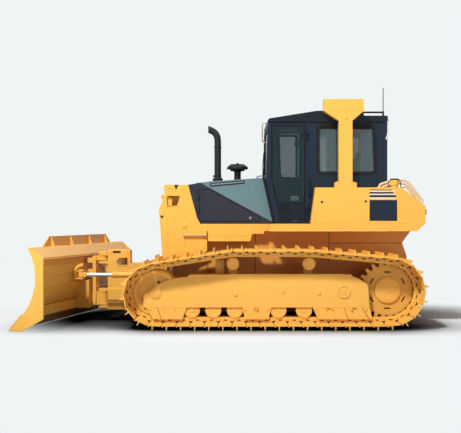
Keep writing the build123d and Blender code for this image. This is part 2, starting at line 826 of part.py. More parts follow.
def side_steps():
    """An apron under the platform's edge with the step box on it, and the rail on the nose plate."""
    front, rear = apron_front_x + 9, apron_rear_x - 186
    apron = side_form([(front, apron_bottom), (rear, apron_bottom), (rear + 16, apron_rear_bottom),
                       (apron_rear_x, apron_rear_bottom), (apron_rear_x, frame_top), (front, frame_top)],
                      nose_plate_inner, hood_half_width)
    box_outline = [(front, step_top), (front + 17, apron_bottom), (rear - 14, apron_bottom), (rear, step_top)]
    box = side_form(box_outline, hood_half_width - 1, hood_half_width + step_reach)
    rail = slab(*side_rail_x, hood_half_width, hood_half_width + side_rail_reach, *side_rail_z)
    step = apron + box
    return [step, other_side(step), rail, other_side(rail)]


def work_lamps():
    lamp = slab(-960, -840, frame_half_width, nose_plate_inner - 20, 1690, 1810)
    return both_sides(lamp)


def antenna():
    return rod_z(roof_bar_end_x, -roof_bar_y, antenna_radius, roof_top + 3, antenna_top)


# ---------------------------------------------------------------- blade frame
def turned(part):
    """Swing about the angle axis from straight ahead to the parked angle."""
    return Pos(angle_axis_x, 0, 0) * Rot(0, 0, blade_angle_at_rest) * Pos(-angle_axis_x, 0, 0) * part


lift_eye_x = -870
lift_eye_z = 700
trunnion_x = -660
trunnion_z = 1410
angle_base_x = -1000
angle_base_z = 700
angle_base_y = 514
angle_base_pin = 25
angle_barrel_radius = 42
angle_eye_forward = 125
angle_eye_side = 580
# Tilt cylinder: across the back of the blade, tilt_plane ahead of the angle axis
tilt_plane = 190
tilt_base_s = 60
tilt_base_z = 885
tilt_eye_s = 740
tilt_eye_z = 850
tilt_eye_pin = 15
tilt_barrel_radius = 36
tilt_rod_radius = 22
tilt_barrel_length = 480
tilt_rod_length = 340
arm_top = 590
trunnion_radius = 24
nose_box_x = angle_axis_x + 90
ear = 14


def blade_frame():
    arm = side_form(
        [(lift_pivot_x - 60, lift_pivot_z + 100), (lift_pivot_x + 60, lift_pivot_z + 100),
         (lift_pivot_x + 115, lift_pivot_z), (lift_pivot_x + 60, lift_pivot_z - 100),
         (-900, 410), (-1210, 200), (-1480, 170), (-1480, 470), (-1300, arm_top)],
        arm_inner, arm_outer)
    arm -= rod_y(lift_pivot_x, lift_pivot_z, lift_pin_radius + pin_clearance, arm_inner - 1, arm_outer + 1)
    cross = slab(-1480, -1210, -arm_outer, arm_outer, 200, 470)
    nose_box = slab(nose_box_x, -1400, -170, 170, 170, 470)
    tower = side_form([(nose_box_x, 470), (nose_box_x, 1040), (-1480, 1040), (-1480, 850), (-1250, 850),
                       (-1210, 470)], -150, 150)
    window = side_form([(-1690, 870), (-1645, 812), (-1520, 812), (-1520, 928), (-1645, 928)], -151, 151)
    lugs = []
    for low in (180, 430, 840, 960):
        lugs.append(slab(angle_axis_x, nose_box_x, -70, 70, low, low + 40))
        lugs.append(rod_z(angle_axis_x, 0, 70, low, low + 40))
    pins = [rod_z(angle_axis_x, 0, angle_pin_radius, low, high) for low, high in ((180, 470), (840, 1000))]
    lift_ears = []
    for low in (arm_inner, arm_outer - ear):
        lift_ears.append(slab(lift_eye_x - 55, lift_eye_x + 55, low, low + ear, arm_top - 5, lift_eye_z + 50))
    base = []
    for low in (angle_base_z - 55, angle_base_z + 41):
        base.append(slab(angle_base_x - 45, angle_base_x + 62, arm_inner, arm_outer, low, low + ear))
    front, rear, low = angle_base_x - 45, angle_base_x + 62, arm_top - 5
    base.append(slab(rear - ear, rear, arm_inner, arm_outer, low, angle_base_z + 55))
    base.append(slab(front, rear, arm_inner, arm_outer, low, angle_base_z - 41))
    base.append(rod_z(angle_base_x, angle_base_y, angle_base_pin, angle_base_z - 50, angle_base_z + 50))
    side_pieces = joined([arm] + lift_ears + base)
    return joined([cross, nose_box, tower - window] + lugs + pins + [side_pieces, other_side(side_pieces)])


def blade_yoke():
    x = angle_axis_x
    lower_hub = rod_z(x, 0, 75, 226, 424)
    upper_hub = rod_z(x, 0, 72, 886, 954)
    column = slab(x - 130, x - 80, -90, 90, 226, 954)
    web = slab(x - 90, x - 20, -60, 60, 226, 424) + slab(x - 90, x - 20, -60, 60, 886, 954)
    tilt_pin = rod_x(0, tilt_axis_z, tilt_pin_radius, x - 300, x - 120)
    beam = slab(x - 240, x - 200, -angle_eye_side - 60, angle_eye_side + 60, 640, 760)
    beam += slab(x - 240, x - 80, -90, 90, 640, 760)
    head_low, head_high = tilt_base_z - 35, tilt_base_z + 40
    head = slab(x - tilt_plane - 38, x - 80, -90, tilt_base_s - 45, head_low, head_high)
    for plate in (-38, 26):
        low = tilt_plane + plate
        head += slab(x - low - 12, x - low, tilt_base_s - 46, tilt_base_s + 40, head_low, head_high)
    head += rod_x(tilt_base_s, tilt_base_z, tilt_eye_pin, x - tilt_plane - 36, x - tilt_plane + 36)
    ears = []
    for y in (-angle_eye_side, angle_eye_side):
        for low in (640, 746):
            lug = slab(x - 205, x - angle_eye_forward, y - 45, y + 45, low, low + ear)
            ears.append(lug + rod_z(x - angle_eye_forward, y, 45, low, low + ear))
    whole = joined([lower_hub, upper_hub, column, web, tilt_pin, beam, head] + ears)
    for low, high in ((225, 425), (885, 955)):
        whole -= rod_z(x, 0, angle_pin_radius + pin_clearance, low, high)
    return turned(whole)


blade_front_x = angle_axis_x - blade_plane_offset
arc_top = (0, blade_height)
arc_middle = (107, 718)
arc_end = (-45, 270)
edge_lean = math.atan2(258, 214)
edge_tip_distance = (arc_end[1] - edge_clearance) / math.sin(edge_lean)


def on_edge(distance, out):
    """A point of the blade's straight foot: along it from the arc's end, and out in front of it."""
    down, level = math.sin(edge_lean), math.cos(edge_lean)
    return (arc_end[0] - level * distance - down * out, arc_end[1] - down * distance + level * out)


def p(point, y):
    """A point of the blade's outline, which is measured from its upper front edge."""
    return (blade_front_x + point[0], y, point[1])


def ahead_of_blade():
    """The space that the blade's curved face pushes through."""
    half = blade_width / 2
    tip = on_edge(edge_tip_distance, 0)
    face = make_face([
        ThreePointArc(p(arc_top, -half), p(arc_middle, -half), p(arc_end, -half)),
        Line(p(arc_end, -half), p(tip, -half)),
        Line(p(tip, -half), p((-800, tip[1]), -half)),
        Line(p((-800, tip[1]), -half), p((-800, blade_height), -half)),
        Line(p((-800, blade_height), -half), p(arc_top, -half)),
    ])
    return extrude(face, amount=2 * half, dir=(0, 1, 0))


def blade():
    half = blade_width / 2
    fx = blade_front_x
    foot = on_edge(130, 0)
    foot_back = on_edge(130, -blade_plate)
    arc_end_back = on_edge(0, -blade_plate)
    mold = make_face([
        ThreePointArc(p(arc_top, -half), p(arc_middle, -half), p(arc_end, -half)),
        Line(p(arc_end, -half), p(foot, -half)),
        Line(p(foot, -half), p(foot_back, -half)),
        Line(p(foot_back, -half), p(arc_end_back, -half)),
        ThreePointArc(p(arc_end_back, -half), p((arc_middle[0] + blade_plate, arc_middle[1]), -half),
                      p((blade_plate, blade_height), -half)),
        Line(p((blade_plate, blade_height), -half), p(arc_top, -half)),
    ])
    moldboard = extrude(mold, amount=2 * half, dir=(0, 1, 0))
    rail = side_form([(fx + 15, blade_height), (fx + 70, blade_height), (fx + 165, 985), (fx + 165, 960),
                      (fx + 85, 960)], -half, half)
    lower_rail = side_form([(fx - 30, 260), (fx + 60, 330), (fx + 60, 200), (fx - 80, 190)], -half, half)
    end_face = make_face([
        ThreePointArc(p(arc_top, half), p(arc_middle, half), p(arc_end, half)),
        Line(p(arc_end, half), p(on_edge(edge_tip_distance - 12, 0), half)),
        Line(p(on_edge(edge_tip_distance - 12, 0), half), p((-86, edge_clearance + 2), half)),
        Line(p((-86, edge_clearance + 2), half), p((219, 189), half)),
        Line(p((219, 189), half), p((219, 985), half)),
        Line(p((219, 985), half), p((60, blade_height), half)),
        Line(p((60, blade_height), half), p(arc_top, half)),
    ])
    end_plate = extrude(end_face, amount=end_plate_thickness, dir=(0, -1, 0))
    spill = front_form([(-1420, blade_height - 60), (1420, blade_height - 60), (1420, blade_height),
                        (1200, 1255), (-1200, 1255), (-1420, blade_height)], fx, fx + 14)
    low = blade_height - 20
    gusset_outline = [(fx + 10, 1250), (fx + 24, 1250), (fx + 75, low), (fx + 10, low)]
    gussets = [side_form(gusset_outline, y - 8, y + 8) for y in (-1130, -390, 390, 1130)]
    box = slab(fx - 60, angle_axis_x - 150, -200, 200, 190, 600) - ahead_of_blade()
    box -= rod_x(0, tilt_axis_z, tilt_pin_radius + pin_clearance, angle_axis_x - 306, angle_axis_x - 100)
    outer_s = tilt_eye_s + 50
    ear_low, ear_high = tilt_eye_z - 50, tilt_eye_z + 50
    tilt_ears = [slab(fx + 100, angle_axis_x - tilt_plane + 38, outer_s, outer_s + 14, ear_low, ear_high)]
    for plate in (-38, 26):
        low = tilt_plane + plate
        tilt_ears.append(slab(angle_axis_x - low - 12, angle_axis_x - low, tilt_eye_s - 45, outer_s + 14,
                              ear_low, ear_high))
    plates = [moldboard, rail, lower_rail, end_plate, other_side(end_plate), spill, box]
    whole = joined(plates + gussets + tilt_ears)
    return turned(whole)


def cutting_edge():
    half = blade_width / 2 - end_plate_thickness
    points = [on_edge(60, 0), on_edge(edge_tip_distance, 0), on_edge(edge_tip_distance, edge_thickness),
              on_edge(60, edge_thickness)]
    return turned(side_form([(blade_front_x + x, z) for x, z in points], -half, half))


# ---------------------------------------------------------------- cylinders
lift_ahead = 198
lift_behind = 500
lift_length = math.dist((lift_eye_x, lift_eye_z), (trunnion_x, trunnion_z))
lift_rod_length = 790


def lift_place():
    """Local Z runs from the trunnion to the rod's eye."""
    direction = Vector(lift_eye_x - trunnion_x, 0, lift_eye_z - trunnion_z)
    return Plane(origin=(trunnion_x, arm_mid, trunnion_z), x_dir=(0, 1, 0), z_dir=direction.normalized())


def lift_barrel(side):
    tube = Pos(0, 0, (lift_ahead - lift_behind) / 2) * (
        Cylinder(cylinder_radius, lift_ahead + lift_behind)
        - Cylinder(rod_radius + pin_clearance, lift_ahead + lift_behind - 24))
    mouth = Pos(0, 0, lift_ahead - 12) * Cylinder(rod_radius + pin_clearance, 30)
    tube -= mouth
    tube = lift_place().location * tube
    outer = (arm_mid + cylinder_radius - 8, hood_half_width - 4)
    inner = (frame_half_width - 20, arm_mid - cylinder_radius + 8)
    pins = [rod_y(trunnion_x, trunnion_z, trunnion_radius, *reach) for reach in (outer, inner)]
    whole = joined([tube] + pins)
    return whole if side > 0 else other_side(whole)


def lift_rod(side):
    rod = Pos(0, 0, lift_length - lift_rod_length / 2) * Cylinder(rod_radius, lift_rod_length)
    rod = lift_place().location * rod
    room = ear + side_clearance
    eye = rod_y(lift_eye_x, lift_eye_z, eye_radius, arm_inner + room, arm_outer - room)
    whole = rod + eye
    return whole if side > 0 else other_side(whole)


def angle_eye(side):
    """The rod's eye at rest, where the parked blade puts it."""
    swing = math.radians(blade_angle_at_rest)
    forward, across = angle_eye_forward, side * angle_eye_side
    return (angle_axis_x - forward * math.cos(swing) - across * math.sin(swing),
            -forward * math.sin(swing) + across * math.cos(swing))


barrel_start = 50
barrel_floor = 80
angle_barrel_length = 700
angle_rod_length = 640


def angle_place(side):
    """Local Z runs from the base pin to the rod's eye."""
    ex, ey = angle_eye(side)
    direction = Vector(ex - angle_base_x, ey - side * angle_base_y, 0)
    return Plane(origin=(angle_base_x, side * angle_base_y, angle_base_z), x_dir=(0, 0, 1),
                 z_dir=direction.normalized())


def angle_length(side):
    ex, ey = angle_eye(side)
    return math.dist((ex, ey), (angle_base_x, side * angle_base_y))


def hollow_barrel(length, radius, rod):
    """Up local Z from barrel_start, bored for its rod from barrel_floor to the mouth."""
    tube = Pos(0, 0, (barrel_start + length) / 2) * Cylinder(radius, length - barrel_start)
    bore = length - barrel_floor + 2
    return tube - Pos(0, 0, barrel_floor + bore / 2) * Cylinder(rod + pin_clearance, bore)


def angle_barrel(side):
    tube = hollow_barrel(angle_barrel_length, angle_barrel_radius, rod_radius)
    tube = angle_place(side).location * tube
    base = rod_z(angle_base_x, side * angle_base_y, 40, angle_base_z - 36, angle_base_z + 36)
    neck = angle_place(side).location * (Pos(0, 0, 40) * Box(60, 60, 50))
    whole = joined([tube, base, neck])
    bore = angle_base_pin + pin_clearance
    return whole - rod_z(angle_base_x, side * angle_base_y, bore, angle_base_z - 37, angle_base_z + 37)


def angle_rod(side):
    length = angle_length(side)
    rod = Pos(0, 0, length - angle_rod_length / 2) * Cylinder(rod_radius, angle_rod_length)
    ex, ey = angle_eye(side)
    eye = rod_z(ex, ey, eye_radius, angle_base_z - 38, angle_base_z + 38)
    return angle_place(side).location * rod + eye


def tilt_place():
    """Local Z runs from the base pin to the rod's eye, for the blade straight ahead."""
    x = angle_axis_x - tilt_plane
    direction = Vector(0, tilt_eye_s - tilt_base_s, tilt_eye_z - tilt_base_z)
    return Plane(origin=(x, tilt_base_s, tilt_base_z), x_dir=(1, 0, 0), z_dir=direction.normalized())


tilt_length = math.dist((tilt_base_s, tilt_base_z), (tilt_eye_s, tilt_eye_z))


def tilt_barrel():
    x = angle_axis_x - tilt_plane
    tube = hollow_barrel(tilt_barrel_length, tilt_barrel_radius, tilt_rod_radius)
    tube += Pos(0, 0, 35) * Box(30, 40, 50)
    whole = tilt_place().location * tube + rod_x(tilt_base_s, tilt_base_z, 30, x - 19, x + 19)
    return turned(whole - rod_x(tilt_base_s, tilt_base_z, tilt_eye_pin + pin_clearance, x - 20, x + 20))


def tilt_rod():
    x = angle_axis_x - tilt_plane
    rod = Pos(0, 0, tilt_length - tilt_rod_length / 2) * Cylinder(tilt_rod_radius, tilt_rod_length)
    rod = tilt_place().location * rod
    return turned(rod + rod_x(tilt_eye_s, tilt_eye_z, 36, x - 19, x + 19))


# ---------------------------------------------------------------- all pieces
pieces = {
    "main_frame": main_frame(),
    "engine_block": engine_block(),
    "radiator_guard": radiator_guard(),
    "radiator_grille": radiator_grille(),
    "nose_plates": nose_plates(),
    "hood": hood(),
    "exhaust_pipe": exhaust_pipe(),
    "air_precleaner": air_precleaner(),
    "platform": platform(),
    "cab_shell": cab_shell(),
    "cab_roof": cab_roof(),
    "cab_glass": cab_glass(),
    "rops_frame": rops_frame(),
    "fuel_tank": fuel_tank(),
    "operator_seat": operator_seat(),
    "control_consoles": control_consoles(),
    "equalizer_bar": equalizer_bar(),
    "pivot_shaft": pivot_shaft(),
    "drawbar": drawbar(),
    "handrails": handrails(),
    "side_steps": side_steps(),
    "work_lamps": work_lamps(),
    "antenna": antenna(),
    "blade_frame": blade_frame(),
    "blade_yoke": blade_yoke(),
    "blade": blade(),
    "cutting_edge": cutting_edge(),
    "tilt_barrel": tilt_barrel(),
    "tilt_rod": tilt_rod(),
}
for side, name in ((-1, "left"), (1, "right")):
    pieces["track_" + name] = track(side)
    pieces["track_frame_" + name] = track_frame(side)
    pieces["idler_" + name] = idler(side)
    pieces["sprocket_" + name] = sprocket(side)
    pieces["track_rollers_" + name] = rollers(side)
    pieces["carrier_rollers_" + name] = carrier_rollers(side)
    pieces["rear_box_" + name] = rear_box(side)
    pieces["engine_door_" + name] = engine_door(side)
    pieces["cab_door_" + name] = cab_door(side)
    pieces["cab_door_glass_" + name] = cab_door_glass(side)
    pieces["lift_barrel_" + name] = lift_barrel(side)
    pieces["lift_rod_" + name] = lift_rod(side)
    pieces["angle_barrel_" + name] = angle_barrel(side)
    pieces["angle_rod_" + name] = angle_rod(side)

# The origin is the middle of the whole machine's base.
boxes = []
for part in pieces.values():
    for solid in (part if isinstance(part, list) else [part]):
        boxes.append(solid.bounding_box())
low = [min(getattr(box.min, axis) for box in boxes) for axis in "XYZ"]
high = [max(getattr(box.max, axis) for box in boxes) for axis in "XYZ"]
origin = ((low[0] + high[0]) / 2, (low[1] + high[1]) / 2, 0)

os.makedirs("parts", exist_ok=True)
for name, part in pieces.items():
    solids = []
    for item in (part if isinstance(part, list) else [part]):
        solids += list(item.solids())
    to_origin = Location((-origin[0], -origin[1], -origin[2]))
    whole = Compound(children=[solid.moved(to_origin) for solid in solids])
    export_step(whole, "parts/" + name + ".step")
print("size", [round(b - a) for a, b in zip(low, high)], "origin", origin, "pieces", len(pieces))
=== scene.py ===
import bpy
import math
import numpy as np
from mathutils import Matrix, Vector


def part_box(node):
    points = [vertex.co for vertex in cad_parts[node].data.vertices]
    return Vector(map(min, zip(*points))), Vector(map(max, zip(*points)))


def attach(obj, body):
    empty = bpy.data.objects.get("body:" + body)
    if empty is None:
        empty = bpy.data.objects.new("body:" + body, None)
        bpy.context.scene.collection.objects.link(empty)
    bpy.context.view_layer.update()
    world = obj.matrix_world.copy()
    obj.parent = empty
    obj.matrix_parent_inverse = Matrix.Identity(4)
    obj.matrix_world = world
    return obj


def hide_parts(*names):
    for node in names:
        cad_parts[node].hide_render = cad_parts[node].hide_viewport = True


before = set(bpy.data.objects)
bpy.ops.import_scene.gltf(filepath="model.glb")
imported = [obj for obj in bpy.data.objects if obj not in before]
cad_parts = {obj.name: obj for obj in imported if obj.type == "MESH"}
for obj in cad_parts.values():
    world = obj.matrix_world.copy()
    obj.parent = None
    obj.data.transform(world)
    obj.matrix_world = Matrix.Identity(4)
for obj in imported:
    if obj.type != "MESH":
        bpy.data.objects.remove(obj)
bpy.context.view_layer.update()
print("frame loaded")

# Pieces are drawn about the machine's centre plane in metres; this shift takes them to the frame's origin.
idlerX = -1.025
angleX = -1.9
restAngle = math.radians(-11.8)
idlerLow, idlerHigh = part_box("idler_left")
bodyLow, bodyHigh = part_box("main_frame")
shift = np.array([(idlerLow.x + idlerHigh.x) / 2 - idlerX, (bodyLow.y + bodyHigh.y) / 2, 0.0])


# Surfaces: each helper gives (points, groups of faces) for one closed shell
planeOrder = {"x": (1, 2, 0), "y": (0, 2, 1), "z": (0, 1, 2)}    # where the two flat values and the level go


def onPlane(flat, axis, level):
    # Flat points on the plane that stands across an axis at a level.
    u, v, w = planeOrder[axis]
    points = np.zeros((len(flat), 3))
    points[:, u], points[:, v], points[:, w] = flat[:, 0], flat[:, 1], level
    return points


def gridFaces(rows, cols, looped=False):
    # Quads between neighbouring rows of points; the last column joins the first, and where the grid is looped
    # the last row joins the first row.
    r = np.arange(rows if looped else rows - 1)[:, None]
    c = np.arange(cols)[None, :]
    n, m = (c + 1) % cols, (r + 1) % rows
    return np.stack([r * cols + c, r * cols + n, m * cols + n, m * cols + c], axis=-1).reshape(-1, 4)


def outward(verts, faces):
    # Volume by the divergence theorem over fans; a negative one means that the shell is inside out.
    total = 0.0
    for group in faces:
        p = verts[np.asarray(group)]
        a, b, c = p[:, :1], p[:, 1:-1], p[:, 2:]
        total += float(np.sum(np.cross(a, b) * c))
    return [group[:, ::-1] for group in faces] if total < 0 else faces


def shell(rings):
    # rings is (rows, cols, 3): rings of points along a path, with a flat cap on the first and last.
    rows, cols, _ = rings.shape
    verts = rings.reshape(-1, 3)
    faces = [gridFaces(rows, cols)]
    faces.append(np.arange(cols)[None, ::-1])
    faces.append(np.arange((rows - 1) * cols, rows * cols)[None, :])
    return verts, outward(verts, faces)


def inset(outline, depth):
    # Each corner moves inwards along its mitre, so that every edge shifts by depth; very sharp ones are held back.
    before = np.roll(outline, 1, axis=0)
    after = np.roll(outline, -1, axis=0)
    d0 = outline - before
    d1 = after - outline
    d0 = d0 / np.linalg.norm(d0, axis=1)[:, None]
    d1 = d1 / np.linalg.norm(d1, axis=1)[:, None]
    n0 = np.stack([-d0[:, 1], d0[:, 0]], axis=1)
    n1 = np.stack([-d1[:, 1], d1[:, 0]], axis=1)
    area = np.sum(outline[:, 0] * after[:, 1] - after[:, 0] * outline[:, 1])
    mitre = n0 + n1
    mitre = mitre / np.maximum(np.sum(mitre * n0, axis=1), 0.35)[:, None]
    return outline + mitre * depth * (1 if area > 0 else -1)


def plate(outline, axis, low, high, bevel=0.0):
    # A flat outline carried from low to high along an axis, with its rims chamfered by bevel.
    flat = np.asarray(outline, float)
    levels = [(flat, low), (flat, high)]
    if bevel:
        small = inset(flat, bevel)
        levels = [(small, low), (flat, low + bevel), (flat, high - bevel), (small, high)]
    return shell(np.stack([onPlane(shape, axis, level) for shape, level in levels]))


def roundedOutline(outline, radius, steps=4):
    # Each corner becomes a bend of a radius, or of what its edges leave room for: a quadratic curve
    # (1-t)^2 s + 2t(1-t) c + t^2 e, whose control c is a tenth of the way from the corner to its chord's middle.
    pts = np.asarray(outline, float)
    made = []
    for k in range(len(pts)):
        p, a, b = pts[k], pts[k - 1], pts[(k + 1) % len(pts)]
        u, v = (a - p), (b - p)
        lu, lv = np.linalg.norm(u), np.linalg.norm(v)
        u, v = u / lu, v / lv
        half = math.acos(float(np.clip(np.dot(u, v), -1, 1))) / 2
        reach = min(radius / math.tan(half), lu * 0.48, lv * 0.48) if half < 1.56 else 0
        if reach < 1e-5:
            made.append(p[None])
            continue
        s, e = p + u * reach, p + v * reach
        t = np.linspace(0, 1, steps + 1)[:, None]
        made.append((1 - t) ** 2 * s + 2 * t * (1 - t) * (p * 0.9 + (s + e) * 0.05) + t ** 2 * e)
    return np.concatenate(made)


def rectangle(left, low, right, high, radius=0.0):
    # The outline of a rectangle, its corners rounded where a radius is given.
    outline = np.array([(left, low), (right, low), (right, high), (left, high)], float)
    return roundedOutline(outline, radius) if radius else outline


def block(low, high, bevel=0.004):
    # A box with every edge chamfered.
    (x0, y0, z0), (x1, y1, z1) = low, high
    b = min(bevel, (x1 - x0) / 3, (y1 - y0) / 3, (z1 - z0) / 3)
    outline = [(x0 + b, y0), (x1 - b, y0), (x1, y0 + b), (x1, y1 - b),
               (x1 - b, y1), (x0 + b, y1), (x0, y1 - b), (x0, y0 + b)]
    return plate(outline, "z", z0, z1, b)


def lathe(profile, centre, axis, segments=32, phase=0.0):
    # A profile of (radius, height) turned round an axis through centre.
    p = np.asarray(profile, float)
    angle = np.linspace(0, 2 * math.pi, segments, endpoint=False) + phase
    u, v, w = {"x": (1, 2, 0), "y": (2, 0, 1), "z": (0, 1, 2)}[axis]
    rings = np.zeros((len(p), segments, 3))
    rings[:, :, u] = p[:, :1] * np.cos(angle)
    rings[:, :, v] = p[:, :1] * np.sin(angle)
    rings[:, :, w] = p[:, 1:]
    return shell(rings + np.asarray(centre, float))


def tube(path, radius, segments=12):
    # A round section carried along a path, kept from twisting by parallel transport.
    p = np.asarray(path, float)
    tangent = np.gradient(p, axis=0)
    tangent /= np.linalg.norm(tangent, axis=1)[:, None]
    side = np.cross(tangent[0], [0.31, 0.21, 0.93])    # a direction that no path here starts along
    side /= np.linalg.norm(side)
    angle = np.linspace(0, 2 * math.pi, segments, endpoint=False)
    rings = np.zeros((len(p), segments, 3))
    for k in range(len(p)):
        side = side - tangent[k] * np.dot(side, tangent[k])
        side /= np.linalg.norm(side)
        other = np.cross(tangent[k], side)
        rings[k] = p[k] + radius * (np.cos(angle)[:, None] * side + np.sin(angle)[:, None] * other)
    return shell(rings)


def smoothPath(points, radius, steps=5):
    # Straight runs joined by quadratic bends that start a radius before each corner.
    p = np.asarray(points, float)
    made = [p[:1]]
    for k in range(1, len(p) - 1):
        a, b = p[k - 1] - p[k], p[k + 1] - p[k]
        la, lb = np.linalg.norm(a), np.linalg.norm(b)
        r = min(radius, la * 0.49, lb * 0.49)
        s, e = p[k] + a / la * r, p[k] + b / lb * r
        t = np.linspace(0, 1, steps + 1)[:, None]
        made.append((1 - t) ** 2 * s + 2 * t * (1 - t) * p[k] + t ** 2 * e)
    made.append(p[-1:])
    return np.concatenate(made)


def ringShell(rings):
    # Rings joined into a closed loop of loops, such as a gasket: both directions close.
    rows, cols, _ = rings.shape
    verts = rings.reshape(-1, 3)
    return verts, outward(verts, [gridFaces(rows, cols, looped=True)])


def rim(outline, axis, low, high, width, bevel=0.002):
    # A flat band that follows an outline, width wide inwards from it, with its upper edges chamfered.
    flat = np.asarray(outline, float)
    section = [(0, low), (0, high - bevel), (bevel, high), (width - bevel, high), (width, high - bevel), (width, low)]
    rings = [onPlane(inset(flat, offset) if offset else flat, axis, level) for offset, level in section]
    return ringShell(np.stack(rings))


def seam(points, axis, level, width=0.005):
    # A line on a flat face: a thin round bead with its middle in the face.
    return tube(onPlane(np.asarray(points, float), axis, level), width / 2, 6)


def atSide(places, y):
    # Places given as (x, z) in the side view, all at one y.
    return [(x, y, z) for x, z in places]


def bentBar(points, bend, radius, segments=10):
    # A round bar along a path with bent corners.
    return tube(smoothPath(points, bend), radius, segments)


def turned(parts, axis, angle, pivot=(0, 0, 0)):
    # Every point turns about an axis through the pivot.
    c, s = math.cos(angle), math.sin(angle)
    spin = {
        "x": [[1, 0, 0], [0, c, -s], [0, s, c]],
        "y": [[c, 0, s], [0, 1, 0], [-s, 0, c]],
        "z": [[c, -s, 0], [s, c, 0], [0, 0, 1]],
    }[axis]
    middle = np.asarray(pivot, float)
    return [((verts - middle) @ np.array(spin).T + middle, faces) for verts, faces in parts]


def moved(parts, by):
    # Every point shifts by the same step.
    return [(verts + np.asarray(by, float), faces) for verts, faces in parts]


def aimed(parts, start, end):
    # What is drawn up the Z axis from the origin is laid along the line from start to end.
    start, end = np.asarray(start, float), np.asarray(end, float)
    w = (end - start) / np.linalg.norm(end - start)
    u = np.cross([0, 0, 1] if abs(w[2]) < 0.9 else [0, 1, 0], w)
    u /= np.linalg.norm(u)
    basis = np.stack([u, np.cross(w, u), w])
    return [(verts @ basis + start, faces) for verts, faces in parts]


def bolts(places, axis, radius=0.012, height=0.012, sign=1):
    # Six-sided heads with a small chamfer, each on a round washer; sign is -1 where they point down the axis.
    made = []
    for place in places:
        under, edge, top = sign * height * 0.2, sign * height * 0.85, sign * height
        made.append(lathe([(radius * 1.35, 0), (radius * 1.35, under)], place, axis, 12))
        made.append(lathe([(radius, under), (radius, edge), (radius * 0.8, top)], place, axis, 6))
    return made


def ringBolts(centre, axis, ringRadius, count, radius=0.012, height=0.012, sign=1, phase=0.0):
    # Bolt heads spaced evenly round a circle on a flat face.
    places = []
    u, v = {"x": (1, 2), "y": (2, 0), "z": (0, 1)}[axis]
    for k in range(count):
        place = list(centre)
        place[u] += ringRadius * math.cos(phase + 2 * math.pi * k / count)
        place[v] += ringRadius * math.sin(phase + 2 * math.pi * k / count)
        places.append(place)
    return bolts(places, axis, radius, height, sign)


def mirrored(parts):
    # The same parts on the machine's other side, turned outwards again.
    return [(verts * np.array([1, -1, 1]), [group[:, ::-1] for group in faces]) for verts, faces in parts]


def bothSides(parts):
    # The parts drawn for the left, and their mirror image across the centre plane.
    return parts + mirrored(parts)


def swung(parts):
    # Turns what is drawn for a blade straight ahead to where the parked blade stands.
    return turned(parts, "z", restAngle, (angleX, 0, 0))


def makePiece(name, parts, finish, body="machine", sharp=32):
    # Joins the parts in one mesh, shades it smooth but for edges over sharp degrees, and rides it on a body.
    verts, faces, start = [], [], 0
    material, slot = finishes[finish]
    for v, groups in parts:
        verts.append(v)
        for group in groups:
            faces += (np.asarray(group) + start).tolist()
        start += len(v)
    mesh = bpy.data.meshes.new(name)
    mesh.from_pydata((np.concatenate(verts) + shift).tolist(), [], faces)
    mesh.polygons.foreach_set("use_smooth", [True] * len(mesh.polygons))
    mesh.set_sharp_from_angle(angle=math.radians(sharp))
    mesh.materials.append(materials[material])
    mesh.update()
    piece = bpy.data.objects.new(name, mesh)
    bpy.context.scene.collection.objects.link(piece)
    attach(piece, body)
    return piece


def makePair(name, parts, finish, body):
    # What is drawn for the left rides on the left body, and its mirror image on the right one.
    left = makePiece(name + "Left", parts, finish, body + "_left")
    return left, makePiece(name + "Right", mirrored(parts), finish, body + "_right")


# Materials
def nodeAdder(tree):
    # A short way to add a node to a tree: its settings, and its inputs set to a value or linked to a socket.
    def add(kind, inputs=None, **settings):
        node = tree.nodes.new(kind)
        for key, value in settings.items():
            setattr(node, key, value)
        for key, value in (inputs or {}).items():
            if isinstance(value, bpy.types.NodeSocket):
                tree.links.new(value, node.inputs[key])
            else:
                node.inputs[key].default_value = value
        return node

    return add


def nodeMaker(name):
    # A new material, a way to add nodes to it, its shader and its links.
    material = bpy.data.materials.new(name)
    material.use_nodes = True
    tree = material.node_tree
    return material, nodeAdder(tree), tree.nodes["Principled BSDF"], tree.links


def rgb(colour):
    return (*colour, 1.0)


def mixColours(add, factor, first, second):
    # The first colour where the factor is 0, the second where it is 1.
    return add("ShaderNodeMix", {"Factor": factor, "A": first, "B": second}, data_type="RGBA").outputs["Result"]


def mapped(add, value, low=0.0, high=1.0, toLow=0.0, toHigh=1.0, **settings):
    # Runs from toLow to toHigh as the value goes from low to high, and stays there beyond.
    limits = {"From Min": low, "From Max": high, "To Min": toLow, "To Max": toHigh}
    return add("ShaderNodeMapRange", {"Value": value, **limits}, **settings).outputs["Result"]


def maths(add, operation, *values):
    return add("ShaderNodeMath", dict(enumerate(values)), operation=operation).outputs["Value"]


def noise(add, place, scale, detail, **more):
    return add("ShaderNodeTexNoise", {"Vector": place, "Scale": scale, "Detail": detail, **more}).outputs["Fac"]


def addBump(add, shader, links, height, strength, distance):
    bump = add("ShaderNodeBump", {"Height": height, "Strength": strength, "Distance": distance})
    links.new(bump.outputs["Normal"], shader.inputs["Normal"])


# Dust is thickest up to the low height and thins out to a share at the high one, in metres.
dustLook = {"colour": (0.30, 0.20, 0.11, 1), "low": 0.1, "high": 1.5, "share": 0.12}


